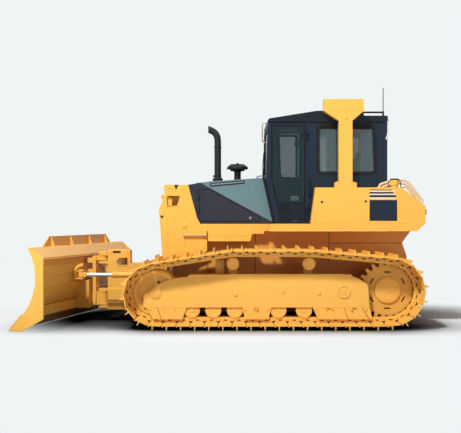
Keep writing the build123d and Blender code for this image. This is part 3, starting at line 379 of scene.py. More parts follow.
def paintMaterial(name, colour, roughness, dust, shine=0.3, scale=1.0):
    # Enamel: a slow drift of tone, dust that settles low down, fine orange peel in the bump.
    material, add, shader, links = nodeMaker(name)
    place = add("ShaderNodeTexCoord").outputs["Object"]
    drift = noise(add, place, 1.7 * scale, 4.0)
    fine = noise(add, place, 55.0 * scale, 5.0, Roughness=0.62)
    tone = mixColours(add, drift, rgb([c * 0.85 for c in colour]), rgb(colour))
    height = add("ShaderNodeSeparateXYZ", {"Vector": place}).outputs["Z"]
    low = mapped(add, height, dustLook["low"], dustLook["high"], 1.0, dustLook["share"])
    spread = mapped(add, fine, 0.38, 0.78, 0.2, 1.0)
    film = maths(add, "MULTIPLY", maths(add, "MULTIPLY", low, spread), dust)
    links.new(mixColours(add, film, tone, dustLook["colour"]), shader.inputs["Base Color"])
    links.new(mapped(add, fine, toLow=roughness - 0.07, toHigh=roughness + 0.11), shader.inputs["Roughness"])
    addBump(add, shader, links, noise(add, place, 420.0 * scale, 2.0), 0.05, 0.002)
    shader.inputs["Specular IOR Level"].default_value = shine
    return material


def steelMaterial(name, bright, dark, roughness, metallic, scale=14.0, grain=0.35):
    # Worn or rusty steel: blotches between two tones, pitting in the bump.
    material, add, shader, links = nodeMaker(name)
    place = add("ShaderNodeTexCoord").outputs["Object"]
    blotch = mapped(add, noise(add, place, scale, 7.0, Roughness=0.65), 0.36, 0.66)
    links.new(mixColours(add, blotch, rgb(dark), rgb(bright)), shader.inputs["Base Color"])
    links.new(mapped(add, blotch, toLow=roughness + 0.25, toHigh=roughness), shader.inputs["Roughness"])
    addBump(add, shader, links, noise(add, place, 160.0, 6.0), grain, 0.003)
    shader.inputs["Metallic"].default_value = metallic
    return material


def glassMaterial(name, colour, alpha):
    # Tinted pane: dark body colour under a glossy coat, with a faint film of dust.
    material, add, shader, links = nodeMaker(name)
    place = add("ShaderNodeTexCoord").outputs["Object"]
    film = noise(add, place, 6.0, 5.0)
    links.new(mixColours(add, film, rgb(colour), rgb([c * 1.25 for c in colour])), shader.inputs["Base Color"])
    links.new(mapped(add, film, toLow=0.03, toHigh=0.12), shader.inputs["Roughness"])
    shader.inputs["Alpha"].default_value = alpha
    shader.inputs["IOR"].default_value = 1.5
    return material


paints = {
    "yellowEnamel": {"colour": (0.90, 0.485, 0.080), "roughness": 0.42, "dust": 0.25},
    "yellowEnamelLow": {"colour": (0.90, 0.495, 0.085), "roughness": 0.5, "dust": 0.25},
    "creamEnamel": {"colour": (0.82, 0.62, 0.38), "roughness": 0.4, "dust": 0.1},
    "cabEnamel": {"colour": (0.003, 0.014, 0.031), "roughness": 0.45, "dust": 0.05, "shine": 0.22},
    "cabDoorEnamel": {"colour": (0.00126, 0.00588, 0.01302), "roughness": 0.45, "dust": 0.05, "shine": 0.22},
    # A darker, redder copy of the yellow with more dust: painted shade for the hull, which lies in shade under the
    # platform
    "hullEnamel": {"colour": (0.82, 0.355, 0.070), "roughness": 0.46, "dust": 0.35},
    # A darker copy of the yellow with a little more dust: painted shade for the idlers and sprockets
    "wheelEnamel": {"colour": (0.74, 0.385, 0.060), "roughness": 0.5, "dust": 0.3},
    "edgeEnamel": {"colour": (0.80, 0.40, 0.075), "roughness": 0.5, "dust": 0.6},
    "blackEnamel": {"colour": (0.010, 0.011, 0.014), "roughness": 0.45, "dust": 0.1},
    "hoodEnamel": {"colour": (0.017, 0.021, 0.038), "roughness": 0.36, "dust": 0.05},
    "padPlastic": {"colour": (0.17, 0.24, 0.26), "roughness": 0.5, "dust": 0.05},
    "windowRubber": {"colour": (0.006, 0.007, 0.009), "roughness": 0.6, "dust": 0.0, "shine": 0.2},
    "trimPlastic": {"colour": (0.020, 0.022, 0.024), "roughness": 0.55, "dust": 0.0},
    "lightGreyPlastic": {"colour": (0.74, 0.74, 0.71), "roughness": 0.5, "dust": 0.0},
    "seatVinyl": {"colour": (0.030, 0.032, 0.036), "roughness": 0.6, "dust": 0.0, "scale": 3.0},
}
steels = {
    "rodChrome": {"bright": (0.80, 0.80, 0.82), "dark": (0.66, 0.66, 0.69), "roughness": 0.12, "metallic": 1.0,
                  "scale": 5.0, "grain": 0.02},
    "bareSteel": {"bright": (0.46, 0.42, 0.38), "dark": (0.24, 0.20, 0.17), "roughness": 0.4, "metallic": 0.8},
    "castIron": {"bright": (0.06, 0.055, 0.05), "dark": (0.025, 0.022, 0.02), "roughness": 0.6, "metallic": 0.3},
}
glasses = {
    "tintedGlass": {"colour": (0.020, 0.072, 0.086), "alpha": 0.50},
    "tintedDoorGlass": {"colour": (0.003, 0.024, 0.032), "alpha": 0.43},
    "lampGlass": {"colour": (0.55, 0.56, 0.55), "alpha": 0.9},
    "redGlass": {"colour": (0.45, 0.02, 0.015), "alpha": 0.92},
}
materials = {}
for make, looks in ((paintMaterial, paints), (steelMaterial, steels), (glassMaterial, glasses)):
    for name, look in looks.items():
        materials[name] = make(name, **look)

finishes = {
    # finish: material, the record's slot
    "yellow": ("yellowEnamel", "yellow_paint"),
    "lowYellow": ("yellowEnamelLow", "yellow_paint"),
    "cream": ("creamEnamel", "yellow_paint"),
    "cab": ("cabEnamel", "dark_paint"),
    "cabDoor": ("cabDoorEnamel", "dark_paint"),
    "doorGlass": ("tintedDoorGlass", "glass"),
    "black": ("blackEnamel", "black_paint"),
    "pad": ("padPlastic", "trim_plastic"),
    "rubber": ("windowRubber", "trim_plastic"),
    "plastic": ("trimPlastic", "trim_plastic"),
    "lightGrey": ("lightGreyPlastic", "trim_plastic"),
    "vinyl": ("seatVinyl", "upholstery"),
    "steel": ("bareSteel", "worn_steel"),
    "iron": ("castIron", "dark_metal"),
    "lamp": ("lampGlass", "glass"),
    "red": ("redGlass", "glass"),
}

# The hood's side is near black; above the crease, where the side leans in towards the sky, a painted sky reflection in
# pale blue-grey lies over it.
# The crease is the line z = start + x * slope, and a point is above it where its z is greater.
paleSkyReflectionTone = (0.105, 0.185, 0.210)
creaseStart, creaseEnd = (-0.410, 2.015), (0.605, 1.457)
creaseSlope = (creaseEnd[1] - creaseStart[1]) / (creaseEnd[0] - creaseStart[0])


def paintHoodSkyReflection(tree):
    # Puts the pale painted sky reflection over the paint's own colour above the crease.
    add, colourSocket = nodeAdder(tree), tree.nodes["Principled BSDF"].inputs["Base Color"]
    lower = colourSocket.links[0].from_socket
    place = add("ShaderNodeSeparateXYZ", {"Vector": add("ShaderNodeTexCoord").outputs["Object"]})
    start = creaseStart[1] - (creaseStart[0] + shift[0]) * creaseSlope
    line = maths(add, "MULTIPLY_ADD", place.outputs["X"], creaseSlope, start)
    above = maths(add, "GREATER_THAN", place.outputs["Z"], line)
    tree.links.new(mixColours(add, above, lower, rgb(paleSkyReflectionTone)), colourSocket)


paintHoodSkyReflection(materials["hoodEnamel"].node_tree)


def bothOf(*names):
    # The left and the right node of each name.
    return [name + side for name in names for side in ("_left", "_right")]


nodeMaterials = {
    "hullEnamel": ["main_frame"],
    "yellowEnamel": [
        "rops_frame", "radiator_guard", "nose_plates", "platform", "fuel_tank", "side_steps", "pivot_shaft",
        "work_lamps", "blade_frame", "blade_yoke", "blade", "tilt_barrel", "drawbar", "equalizer_bar",
        *bothOf("rear_box", "lift_barrel", "angle_barrel"),
    ],
    "wheelEnamel": bothOf("idler", "sprocket"),
    "yellowEnamelLow": bothOf("track_frame", "track", "track_rollers", "carrier_rollers"),
    "hoodEnamel": ["hood", *bothOf("engine_door")],
    "cabEnamel": ["cab_shell", "radiator_grille"],
    "cabDoorEnamel": ["cab_roof", *bothOf("cab_door")],
    "blackEnamel": ["exhaust_pipe", "air_precleaner"],
    "edgeEnamel": ["cutting_edge"],
    "creamEnamel": ["handrails"],
    "rodChrome": ["tilt_rod", *bothOf("lift_rod", "angle_rod")],
    "castIron": ["engine_block"],
    "trimPlastic": ["control_consoles", "operator_seat", "antenna"],
    "tintedGlass": ["cab_glass", *bothOf("cab_door_glass")],
}
for material, names in nodeMaterials.items():
    for name in names:
        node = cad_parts[name]
        node.data.materials.clear()
        node.data.materials.append(materials[material])
        for slotItem in node.material_slots:
            slotItem.material = materials[material]
print("materials ready")


# Tracks
trackShape = {
    "middle": 1.07, "pitch": 0.19, "shoe": 0.014, "linkFace": 0.115, "arcSteps": 400,
    "wheels": [(-1.025, 0.4814, 0.4114), (2.165, 0.5175, 0.4475), (1.079, 0.884, 0.179), (0.033, 0.884, 0.179)],
    "boss": [(0.030, -0.002), (0.030, 0.005), (0.026, 0.008), (0.016, 0.008), (0.015, 0.004)], "bossZ": -0.056,
    "oval": (0.062, -0.058, 0.128, -0.026), "ovalBend": 0.015, "ovalBand": 0.008,
    "notch": [(-0.030, -0.033), (0.030, -0.033), (0.006, -0.001), (-0.006, -0.001)],
    "boltHead": [(0.013, 0), (0.013, 0.009), (0.010, 0.012)],
    "boltsAcross": (-0.12, -0.065, 0.065, 0.12), "boltsAlong": (0.115, 0.150),
    "lip": [(0.004, 0.0), (0.020, 0.0), (0.020, 0.010), (0.004, 0.016)], "lipHalf": 0.428,
}


def beltCorners():
    # Common tangents join the wheels; the corners stand at equal distances along tangents and arcs.
    wheels = np.array(trackShape["wheels"])
    after = np.roll(wheels, -1, axis=0)
    d = after[:, :2] - wheels[:, :2]
    span = np.linalg.norm(d, axis=1)
    d /= span[:, None]
    lean = (wheels[:, 2] - after[:, 2]) / span
    flat = np.sqrt(1 - lean ** 2)
    normal = np.stack([lean * d[:, 0] + flat * d[:, 1], lean * d[:, 1] - flat * d[:, 0]], axis=1)
    angles = np.arctan2(normal[:, 1], normal[:, 0])
    arcs = []
    for k in range(len(wheels)):
        sweep = (angles[k] - angles[k - 1]) % (2 * math.pi)
        a = angles[k - 1] + np.linspace(0, sweep, trackShape["arcSteps"])
        arcs.append(wheels[k, :2] + wheels[k, 2] * np.stack([np.cos(a), np.sin(a)], axis=1))
    path = np.concatenate(arcs + [arcs[0][:1]])
    run = np.concatenate([[0], np.cumsum(np.linalg.norm(np.diff(path, axis=0), axis=1))])
    count = round(run[-1] / trackShape["pitch"])
    at = run[-1] * np.arange(count) / count
    return np.stack([np.interp(at, run, path[:, 0]), np.interp(at, run, path[:, 1])], axis=1)


corners = beltCorners()


def onEveryLink(parts):
    # Parts drawn as (along the link, out from the belt's middle, out of the belt) go on each link of both tracks.
    tangent = np.roll(corners, -1, axis=0) - corners
    tangent /= np.linalg.norm(tangent, axis=1)[:, None]
    made = []
    for verts, faces in parts:
        along, across, out = verts.T
        other = [group[:, ::-1] for group in faces]
        for (x, z), (tx, tz) in zip(corners, tangent):
            ahead, up = x + tx * along + tz * out, z + tz * along - tx * out
            place = np.stack([ahead, trackShape["middle"] + across, up], axis=1)
            made.append((place, other))
            made.append((place * np.array([1, -1, 1]), faces))
    return made


linkFace, shoeTop, lipHalf = trackShape["linkFace"], trackShape["shoe"], trackShape["lipHalf"]
oval = rectangle(*trackShape["oval"], trackShape["ovalBend"])
pinBoss = lathe(trackShape["boss"], (0.0, linkFace, trackShape["bossZ"]), "y", 14)
ovalBand = rim(oval, "y", linkFace - 0.002, linkFace + 0.005, trackShape["ovalBand"])
makePiece("linkBosses", onEveryLink([pinBoss, ovalBand]), "lowYellow")
# Dark plates in the links' ovals and in the notches between links: painted shade where these openings are
openings = [inset(oval, trackShape["ovalBand"]), trackShape["notch"]]
dark = [plate(outline, "y", linkFace - 0.001, linkFace + 0.0015) for outline in openings]
makePiece("linkOpeningShades", onEveryLink(dark), "iron")
shoeBolts = []
for across in trackShape["boltsAcross"]:
    for along in trackShape["boltsAlong"]:
        shoeBolts.append(lathe(trackShape["boltHead"], (along, across, shoeTop), "z", 6))
makePiece("shoeBolts", onEveryLink(shoeBolts), "lowYellow")
lip = moved([plate(trackShape["lip"], "y", -lipHalf, lipHalf)], (0, 0, shoeTop - 0.001))
makePiece("shoeLips", onEveryLink(lip), "lowYellow")
print("track details done, links a track:", len(corners))

# Track frames: profiles are (radius, how far from the face), and places are (x, z) on it
frameShape = {
    "face": -1.220, "guardBolts": [-1.10, -0.93, -0.76, 0.21, 0.36, 0.51, 1.17, 1.40, 1.66, 1.86], "guardBoltZ": 0.262,
    "coverBolts": [(-0.62, 0.655), (-0.20, 0.690), (0.32, 0.700), (0.86, 0.700), (1.38, 0.700)],
    "plugs": [(0.718, 0.508), (0.070, 0.470), (1.205, 0.480)],
    "plug": [(0.030, 0.001), (0.030, -0.006), (0.024, -0.010), (0.010, -0.010)],
    "pivot": [(1.553, 0.505)],
    "pivotCap": [(0.094, 0.001), (0.094, -0.010), (0.088, -0.014), (0.074, -0.014),
                 (0.070, -0.006), (0.040, -0.006), (0.036, -0.010)],
    "axle": [(-1.025, 0.481)], "axleCap": [(0.080, 0.001), (0.080, -0.006), (0.072, -0.011), (0.020, -0.013)],
    "topEdge": [(-0.02, 0.7405), (0.70, 0.7405), (1.555, 0.7405)],
    "guardEdges": [[(-1.19, 0.289), (-0.60, 0.289)], [(1.13, 0.289), (1.90, 0.289)]],
    "grooves": [[(1.56, 0.285), (1.607, 0.132)], [(1.799, 0.285), (1.895, 0.132)], [(-1.00, 0.285), (-0.95, 0.132)]],
    "frontGroove": [(-1.195, 0.330), (-1.195, 0.420)],
    "holes": [(-0.984, 0.634), (-1.040, 0.460)], "hole": [(0.020, 0.001), (0.020, -0.0015), (0.005, -0.0015)],
}
y = frameShape["face"]
trim = bolts([(x, y, frameShape["guardBoltZ"]) for x in frameShape["guardBolts"]], "y", 0.013, 0.012, -1)
trim += bolts(atSide(frameShape["coverBolts"], y), "y", 0.010, 0.008, -1)
for places, profile, segments in (("plugs", "plug", 20), ("pivot", "pivotCap", 40), ("axle", "axleCap", 36)):
    trim += [lathe(frameShape[profile], place, "y", segments) for place in atSide(frameShape[places], y)]
trim.append(tube(atSide(frameShape["topEdge"], y + 0.002), 0.006, 8))
trim += [tube(atSide(line, y), 0.004, 6) for line in frameShape["guardEdges"]]
makePiece("frameTrim", bothSides(trim), "yellow")
grooves = [seam(line, "y", y, 0.007) for line in frameShape["grooves"]]
grooves += [lathe(frameShape["hole"], place, "y", 20) for place in atSide(frameShape["holes"], y)]
grooves.append(seam(frameShape["frontGroove"], "y", y, 0.006))
makePiece("frameGrooves", bothSides(grooves), "iron")

# Wheels: profiles are (radius, y) about each wheel's middle
wheelShape = {
    "rollers": (-0.531, -0.237, 0.060, 0.356, 0.657, 1.008, 1.353, 1.692), "rollerZ": 0.2493,
    "rollerCap": [(0.108, -1.196), (0.108, -1.1975), (0.098, -1.1998), (0.066, -1.1998), (0.060, -1.1975)],
    "carriers": (0.033, 1.079), "carrierZ": 0.884, "carrierBolts": {"y": -1.205, "ring": 0.044, "count": 4},
    "carrierCap": [(0.070, -1.188), (0.070, -1.200), (0.062, -1.206), (0.020, -1.206)],
    "idler": (-1.025, 0, 0.4814),
    "idlerCap": [(0.300, -1.188), (0.300, -1.197), (0.292, -1.201), (0.262, -1.201), (0.255, -1.195), (0.255, -1.188)],
    "sprocket": (2.165, 0, 0.5175), "sprocketBolts": {"y": -1.1055, "ring": 0.316, "count": 23},
    "hubCap": [(0.176, -1.125), (0.176, -1.130), (0.170, -1.133), (0.060, -1.136), (0.056, -1.140), (0.020, -1.140)],
    "slotShade": [(0.185, -1.0325), (0.295, -1.0325), (0.295, -1.0290), (0.185, -1.0290)],
}
caps = [lathe(wheelShape["rollerCap"], (x, 0, wheelShape["rollerZ"]), "y", 32) for x in wheelShape["rollers"]]
screws, z = wheelShape["carrierBolts"], wheelShape["carrierZ"]
for x in wheelShape["carriers"]:
    caps.append(lathe(wheelShape["carrierCap"], (x, 0, z), "y", 28))
    caps += ringBolts((x, screws["y"], z), "y", screws["ring"], screws["count"], 0.008, 0.007, -1, 0.7)
caps.append(lathe(wheelShape["idlerCap"], wheelShape["idler"], "y", 64))
caps.append(lathe(wheelShape["hubCap"], wheelShape["sprocket"], "y", 48))
screws, (x, _, z) = wheelShape["sprocketBolts"], wheelShape["sprocket"]
caps += ringBolts((x, screws["y"], z), "y", screws["ring"], screws["count"], 0.009, 0.008, -1)
makePiece("wheelCaps", bothSides(caps), "lowYellow")
# A dark ring just behind the sprocket's slots: painted shade, so that the slots read dark
slotShade = lathe(wheelShape["slotShade"], wheelShape["sprocket"], "y", 64)
makePiece("sprocketSlotShades", bothSides([slotShade]), "iron")
print("track frame details done")

# Nose
noseShape = {
    "face": -0.600, "bracket": [(-1.002, 1.520), (-0.962, 1.520), (-0.962, 1.550), (-1.000, 1.550)],
    "creases": [[(-0.951, 1.560), (-0.951, 1.672), (-0.722, 1.686), (-0.837, 1.457)],
                [(-0.660, 1.10), (-0.660, 1.24), (-0.360, 1.24)]],
    "bolts": [(-0.90, 0.96), (-0.90, 1.14), (-0.90, 1.34), (-0.57, 1.40), (-0.69, 1.93), (-0.88, 1.945)],
    "frontEdge": [(-0.965, 0.90), (-1.009, 1.525), (-1.019, 1.60), (-1.019, 1.65)],
    "lampFrame": [(-0.925, 1.655), (-0.755, 1.688), (-0.715, 1.795), (-0.690, 1.845), (-0.928, 1.845)],
    "trunnion": (-0.66, 1.41), "trunnionCap": [(0.040, 0.001), (0.040, -0.008), (0.034, -0.012), (0.008, -0.014)],
    "ledge": (-0.683, 1.266, -0.341, 1.2775), "ledgeFace": -0.6485,
}
y = noseShape["face"]
trim = [bentBar(atSide(line, y + 0.001), 0.03, 0.005, 8) for line in noseShape["creases"]]
trim += bolts(atSide(noseShape["bolts"], y), "y", 0.011, 0.009, -1)
trim.append(tube(atSide(noseShape["frontEdge"], y + 0.002), 0.006, 8))
trim.append(rim(roundedOutline(noseShape["lampFrame"], 0.02), "y", y - 0.006, y + 0.004, 0.012))
trim += [lathe(noseShape["trunnionCap"], place, "y", 28) for place in atSide([noseShape["trunnion"]], y)]
makePiece("noseTrim", bothSides(trim), "yellow")
makePiece("noseBrackets", bothSides([plate(noseShape["bracket"], "y", y - 0.010, y + 0.001, 0.003)]), "iron")
# The ledge is light grey all over: a painted highlight for the light that its top catches
ledge = plate(rectangle(*noseShape["ledge"]), "y", noseShape["ledgeFace"], y + 0.001)
makePiece("noseLedgeHighlights", bothSides([ledge]), "lightGrey")

# Work lamps: profiles are (radius, how far from the lamp's front)
lampShape = {
    "front": -0.960, "middle": 0.511, "height": 1.750, "screwRing": 0.052,
    "lens": [(0.038, 0.001), (0.036, -0.004), (0.024, -0.010), (0.006, -0.012)],
    "bezel": [(0.046, 0.004), (0.047, -0.008), (0.043, -0.012), (0.039, -0.010), (0.038, 0.001)],
}
lens, bezel = [], []
for side in (-1, 1):
    x, y, z = lampShape["front"], side * lampShape["middle"], lampShape["height"]
    lens.append(lathe(lampShape["lens"], (x, y, z), "x", 28))
    bezel.append(lathe(lampShape["bezel"], (x, y, z), "x", 28))
    bezel += ringBolts((x - 0.001, y, z), "x", lampShape["screwRing"], 4, 0.004, 0.004, -1, 0.785)
makePiece("lampLenses", lens, "lamp")
makePiece("lampBezels", bezel, "black")

# Radiator guard: its face leans forward from its foot up to the bend
guardShape = {
    "foot": (-0.955, 0.89), "bend": (-1.010, 1.50), "boltY": 0.430, "boltZ": (0.95, 1.12, 1.30, 1.47, 1.62),
    "slot": (-0.31, 0.925, 0.31, 0.985), "slotX": (-0.975, -0.950),
    "hook": {"x": (-1.018, -0.952), "y": 0.205, "half": 0.030, "z": (1.80, 1.86)},
}
(footX, footZ), (bendX, bendZ) = guardShape["foot"], guardShape["bend"]
front = []
for yy in (-guardShape["boltY"], guardShape["boltY"]):
    places = [(float(np.interp(z, [footZ, bendZ], [footX, bendX])), yy, z) for z in guardShape["boltZ"]]
    front += bolts(places, "x", 0.010, 0.009, -1)
front.append(rim(rectangle(*guardShape["slot"]), "x", *guardShape["slotX"], 0.012))
hook = guardShape["hook"]
for yy in (-hook["y"], hook["y"]):
    low, high = (hook["x"][0], yy - hook["half"], hook["z"][0]), (hook["x"][1], yy + hook["half"], hook["z"][1])
    front.append(block(low, high, 0.008))
makePiece("guardTrim", front, "yellow")

# Cooler fins behind the grille: flat rows, and thin tubes behind them
finShape = {
    "halfWidth": 0.400, "z": (1.000, 1.750), "rows": (1.015, 1.735, 37), "rowX": (-0.9335, -0.9295), "rowHalf": 0.0035,
    "tubes": (-0.385, 0.385, 23), "tubeX": (-0.9300, -0.9270), "tubeHalf": 0.0025,
}
(x0, x1), half, wide = finShape["rowX"], finShape["rowHalf"], finShape["halfWidth"]
fins = [block((x0, -wide, z - half), (x1, wide, z + half), 0.001) for z in np.linspace(*finShape["rows"])]
(x0, x1), half, (low, high) = finShape["tubeX"], finShape["tubeHalf"], finShape["z"]
fins += [block((x0, yy - half, low), (x1, yy + half, high), 0.001) for yy in np.linspace(*finShape["tubes"])]
makePiece("coolerFins", fins, "iron")
print("nose done")

# Hood
hoodShape = {
    "halfWidth": 0.600, "lean": math.tan(math.radians(15)),
    "pad": [(-0.296, 1.965), (0.206, 2.012), (0.206, 2.056), (-0.296, 2.014)], "padBend": 0.018, "padBand": 0.012,
    "crease": [(creaseStart[0] + 0.02, creaseStart[1] - 0.014), (0.1, creaseStart[1] + 0.51 * creaseSlope - 0.003),
               (0.598, 1.4625)], "creaseFace": -0.5975,
    "gapShade": [(0.600, 1.450), (0.637, 1.450), (0.506, 2.074), (0.468, 2.088), (0.452, 2.090), (0.470, 2.060)],
    "gapShadeTop": [(0.455, 2.045), (0.512, 2.045), (0.508, 2.078), (0.460, 2.098)], "gapShadeTopHalf": 0.455,
    "latch": [(0.018, 0.001), (0.018, -0.004), (0.014, -0.007), (0.006, -0.007), (0.005, -0.004)],
    "latchPlace": (0.283, -0.6, 1.514),
    "topX": (-0.607, -0.300, 0.460), "topZ": (1.990, 2.040, 2.092),
}


def shoulderY(x, z):
    # The near side leans in above the crease, by the tangent of its lean for each metre square to the crease.
    rise = (z - creaseStart[1] - (x - creaseStart[0]) * creaseSlope) / math.hypot(1, creaseSlope)
    return -(hoodShape["halfWidth"] - np.maximum(rise, 0) * hoodShape["lean"])


def onShoulder(part):
    # A part drawn in the side view with Y as its height is laid on the leaning side.
    verts, faces = part
    rise = shoulderY(verts[:, 0], verts[:, 2]) - verts[:, 1]
    return verts * np.array([1, 0, 1]) + np.outer(rise, [0, 1, 0]), [group[:, ::-1] for group in faces]


padOutline = roundedOutline(hoodShape["pad"], hoodShape["padBend"])
padRim = rim(padOutline, "y", -0.003, 0.012, 0.014, 0.004)
makePiece("hoodPadRim", bothSides([onShoulder(padRim)]), "rubber")
pad = plate(inset(padOutline, hoodShape["padBand"]), "y", -0.003, 0.009, 0.003)
makePiece("hoodPad", bothSides([onShoulder(pad)]), "pad")
# A thin pale bead along the crease: a painted highlight where the crease's bevel catches the light
makePiece("hoodCreaseHighlight", bothSides([tube(atSide(hoodShape["crease"], hoodShape["creaseFace"]), 0.004, 10)]), "pad")
# Dark strips in the gap between the hood and the cab, along its side and across its top: painted shade in the gap
gapShadeTop = plate(hoodShape["gapShadeTop"], "y", -hoodShape["gapShadeTopHalf"], hoodShape["gapShadeTopHalf"])
makePiece("hoodGapShade", bothSides([onShoulder(plate(hoodShape["gapShade"], "y", -0.02, 0.003))]) + [gapShadeTop], "rubber")
latch = [lathe(hoodShape["latch"], hoodShape["latchPlace"], "y", 20)]
makePair("engineDoorLatch", latch, "steel", "engine_door")


def hoodTop(x):
    # The height of the sloping top.
    return np.interp(x, hoodShape["topX"], hoodShape["topZ"])


def onHoodTop(part):
    # A part drawn in plan with Z as its height is laid on the sloping top.
    verts, faces = part
    return verts + np.outer(hoodTop(verts[:, 0]), [0, 0, 1]), faces


# On the hood's top: a panel and its bolts, two lift bars, and what belongs to the stack and the precleaner
topShape = {
    "panel": (-0.28, -0.36, 0.42, 0.36), "panelBend": 0.05, "boltX": (-0.25, 0.05, 0.39), "boltY": 0.335,
    "barX": (0.385, 0.480), "barY": 0.43, "barZ": (2.118, 2.124), "capX": -0.47,
    "cap": [(0.042, -0.004), (0.042, 0.018), (0.036, 0.026), (0.012, 0.028)],
    "stackX": -0.19, "clamp": [(0.055, 2.125), (0.0565, 2.127), (0.0565, 2.150), (0.055, 2.152)],
    "clampBolt": [(-0.262, -0.012, 2.124), (-0.240, 0.012, 2.153)],
    "stackBand": [(0.054, 2.56), (0.056, 2.562), (0.056, 2.578), (0.054, 2.580)],
    "bowlX": 0.104, "bowlBand": [(0.157, 2.243), (0.160, 2.247), (0.160, 2.254), (0.157, 2.258)],
    "bowlKnob": [(0.012, 2.314), (0.020, 2.318), (0.020, 2.330), (0.010, 2.335)],
    "vane": [(0.050, -0.0025, 2.215), (0.108, 0.0025, 2.238)], "vanes": 16,
}
panel = rectangle(*topShape["panel"], topShape["panelBend"])
top = [onHoodTop(rim(panel, "z", -0.004, 0.006, 0.010)), onHoodTop(rim(inset(panel, 0.05), "z", -0.004, 0.004, 0.006))]
for x in topShape["boltX"]:
    for yy in (-topShape["boltY"], topShape["boltY"]):
        top += moved(bolts([(x, yy, 0)], "z", 0.010, 0.008), (0, 0, float(hoodTop(x))))
(barFront, barRear), (frontZ, rearZ) = topShape["barX"], topShape["barZ"]
for yy in (-topShape["barY"], topShape["barY"]):
    feet = [float(hoodTop(x)) - 0.002 for x in topShape["barX"]]
    path = [(barFront, yy, feet[0]), (barFront, yy, frontZ), (barRear, yy, rearZ), (barRear, yy, feet[1])]
    top.append(bentBar(path, 0.02, 0.007))
makePiece("hoodTopTrim", top, "cab")
stack, bowl = (topShape["stackX"], 0, 0), (topShape["bowlX"], 0, 0)
trim = [lathe(topShape["cap"], (topShape["capX"], 0.0, float(hoodTop(topShape["capX"]))), "z", 28)]
trim += [lathe(topShape["clamp"], stack, "z", 32), block(*topShape["clampBolt"], 0.003)]
trim.append(lathe(topShape["stackBand"], stack, "z", 32))
trim += [lathe(topShape["bowlBand"], bowl, "z", 40), lathe(topShape["bowlKnob"], bowl, "z", 16)]
for k in range(topShape["vanes"]):
    trim += moved(turned([block(*topShape["vane"], 0.001)], "z", 2 * math.pi * k / topShape["vanes"]), bowl)
makePiece("hoodStackTrim", trim, "black")
print("hood done")

# Cab
cabShape = {
    "face": -0.780, "frame": 0.034, "sill": 1.748, "bend": 0.06,
    "door": [(0.700, 1.470), (1.062, 1.470), (1.062, 2.830), (0.576, 2.830), (0.576, 2.077)],
    "window": [(1.238, 2.147), (2.050, 2.147), (2.024, 2.835), (1.238, 2.835)],
    "blind": [(1.262, 2.770), (2.005, 2.770), (2.003, 2.815), (1.262, 2.815)],
    "rearWindow": (-0.675, 2.115, 0.675, 2.805), "rearX": (2.206, 2.2215),
    "frontWindow": (-0.695, 2.135, 0.695, 2.815), "frontFoot": (0.5095, 2.077), "frontLean": 0.020 / 0.803,
    "pillarBar": {"x": 1.115, "foot": (1.815, 1.830), "top": (2.080, 2.095), "reach": 0.030},
    "cornerBar": [(2.180, 2.930), (2.226, 2.860), (2.231, 2.740), (2.196, 2.620)], "cornerBarY": -0.786,
}


def aboveSill(corners, sill):
    # The upper part of a door's outline, cut level at a sill: its slanting front edge is crossed by proportion.
    share = (sill - corners[0][1]) / (corners[4][1] - corners[0][1])
    start = (corners[0][0] + (corners[4][0] - corners[0][0]) * share, sill)
    return [start, (corners[1][0], sill)] + [tuple(q) for q in corners[2:]]


y, door = cabShape["face"], np.array(cabShape["door"])
doorEdge = roundedOutline(aboveSill(inset(door, cabShape["frame"]), cabShape["sill"]), cabShape["bend"], 6)
paneEdge = roundedOutline(aboveSill(inset(door, 0.012), cabShape["sill"] - 0.020), 0.045, 6)
sideEdge = roundedOutline(cabShape["window"], cabShape["bend"], 6)
doorPane = [plate(inset(paneEdge, 0.004), "y", y - 0.005, y - 0.0005, 0.0015)]
doorRubber = [rim(paneEdge, "y", y - 0.007, y + 0.002, 0.009, 0.002)]
doorRubber.append(rim(inset(doorEdge, -0.002), "y", y + 0.026, y + 0.042, 0.014))
left, right = makePair("doorPane", doorPane, "doorGlass", "cab_door")
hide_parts("cab_door_glass_left")
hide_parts("cab_door_glass_right")
makePair("cabDoorRubber", doorRubber, "rubber", "cab_door")
windowRubber = [rim(inset(sideEdge, -0.026), "y", y - 0.006, y + 0.012, 0.048, 0.004)]
windowRubber.append(plate(roundedOutline(cabShape["blind"], 0.02), "y", y + 0.011, y + 0.0145))
ends = [rim(rectangle(*cabShape["rearWindow"], 0.05), "x", *cabShape["rearX"], 0.024, 0.004)]
verts, faces = rim(rectangle(*cabShape["frontWindow"], 0.05), "x", -0.010, 0.004, 0.024, 0.003)
verts = verts * np.array([-1, 1, 1])    # the front band faces forwards and lies on the leaning screen
verts[:, 0] += cabShape["frontFoot"][0] + (verts[:, 2] - cabShape["frontFoot"][1]) * cabShape["frontLean"]
ends.append((verts, [group[:, ::-1] for group in faces]))
makePiece("cabRubbers", bothSides(windowRubber) + ends, "rubber")
bar = cabShape["pillarBar"]
barPath = [(bar["x"], y + 0.002, bar["foot"][0]), (bar["x"], y - bar["reach"], bar["foot"][1])]
barPath += [(bar["x"], y - bar["reach"], bar["top"][0]), (bar["x"], y + 0.002, bar["top"][1])]
makePiece("cabHandles", bothSides([bentBar(barPath, 0.02, 0.009, 12)]), "cab")
cornerBar = bentBar(atSide(cabShape["cornerBar"], cabShape["cornerBarY"]), 0.06, 0.008)
makePiece("cabCornerBars", bothSides([cornerBar]), "lightGrey")

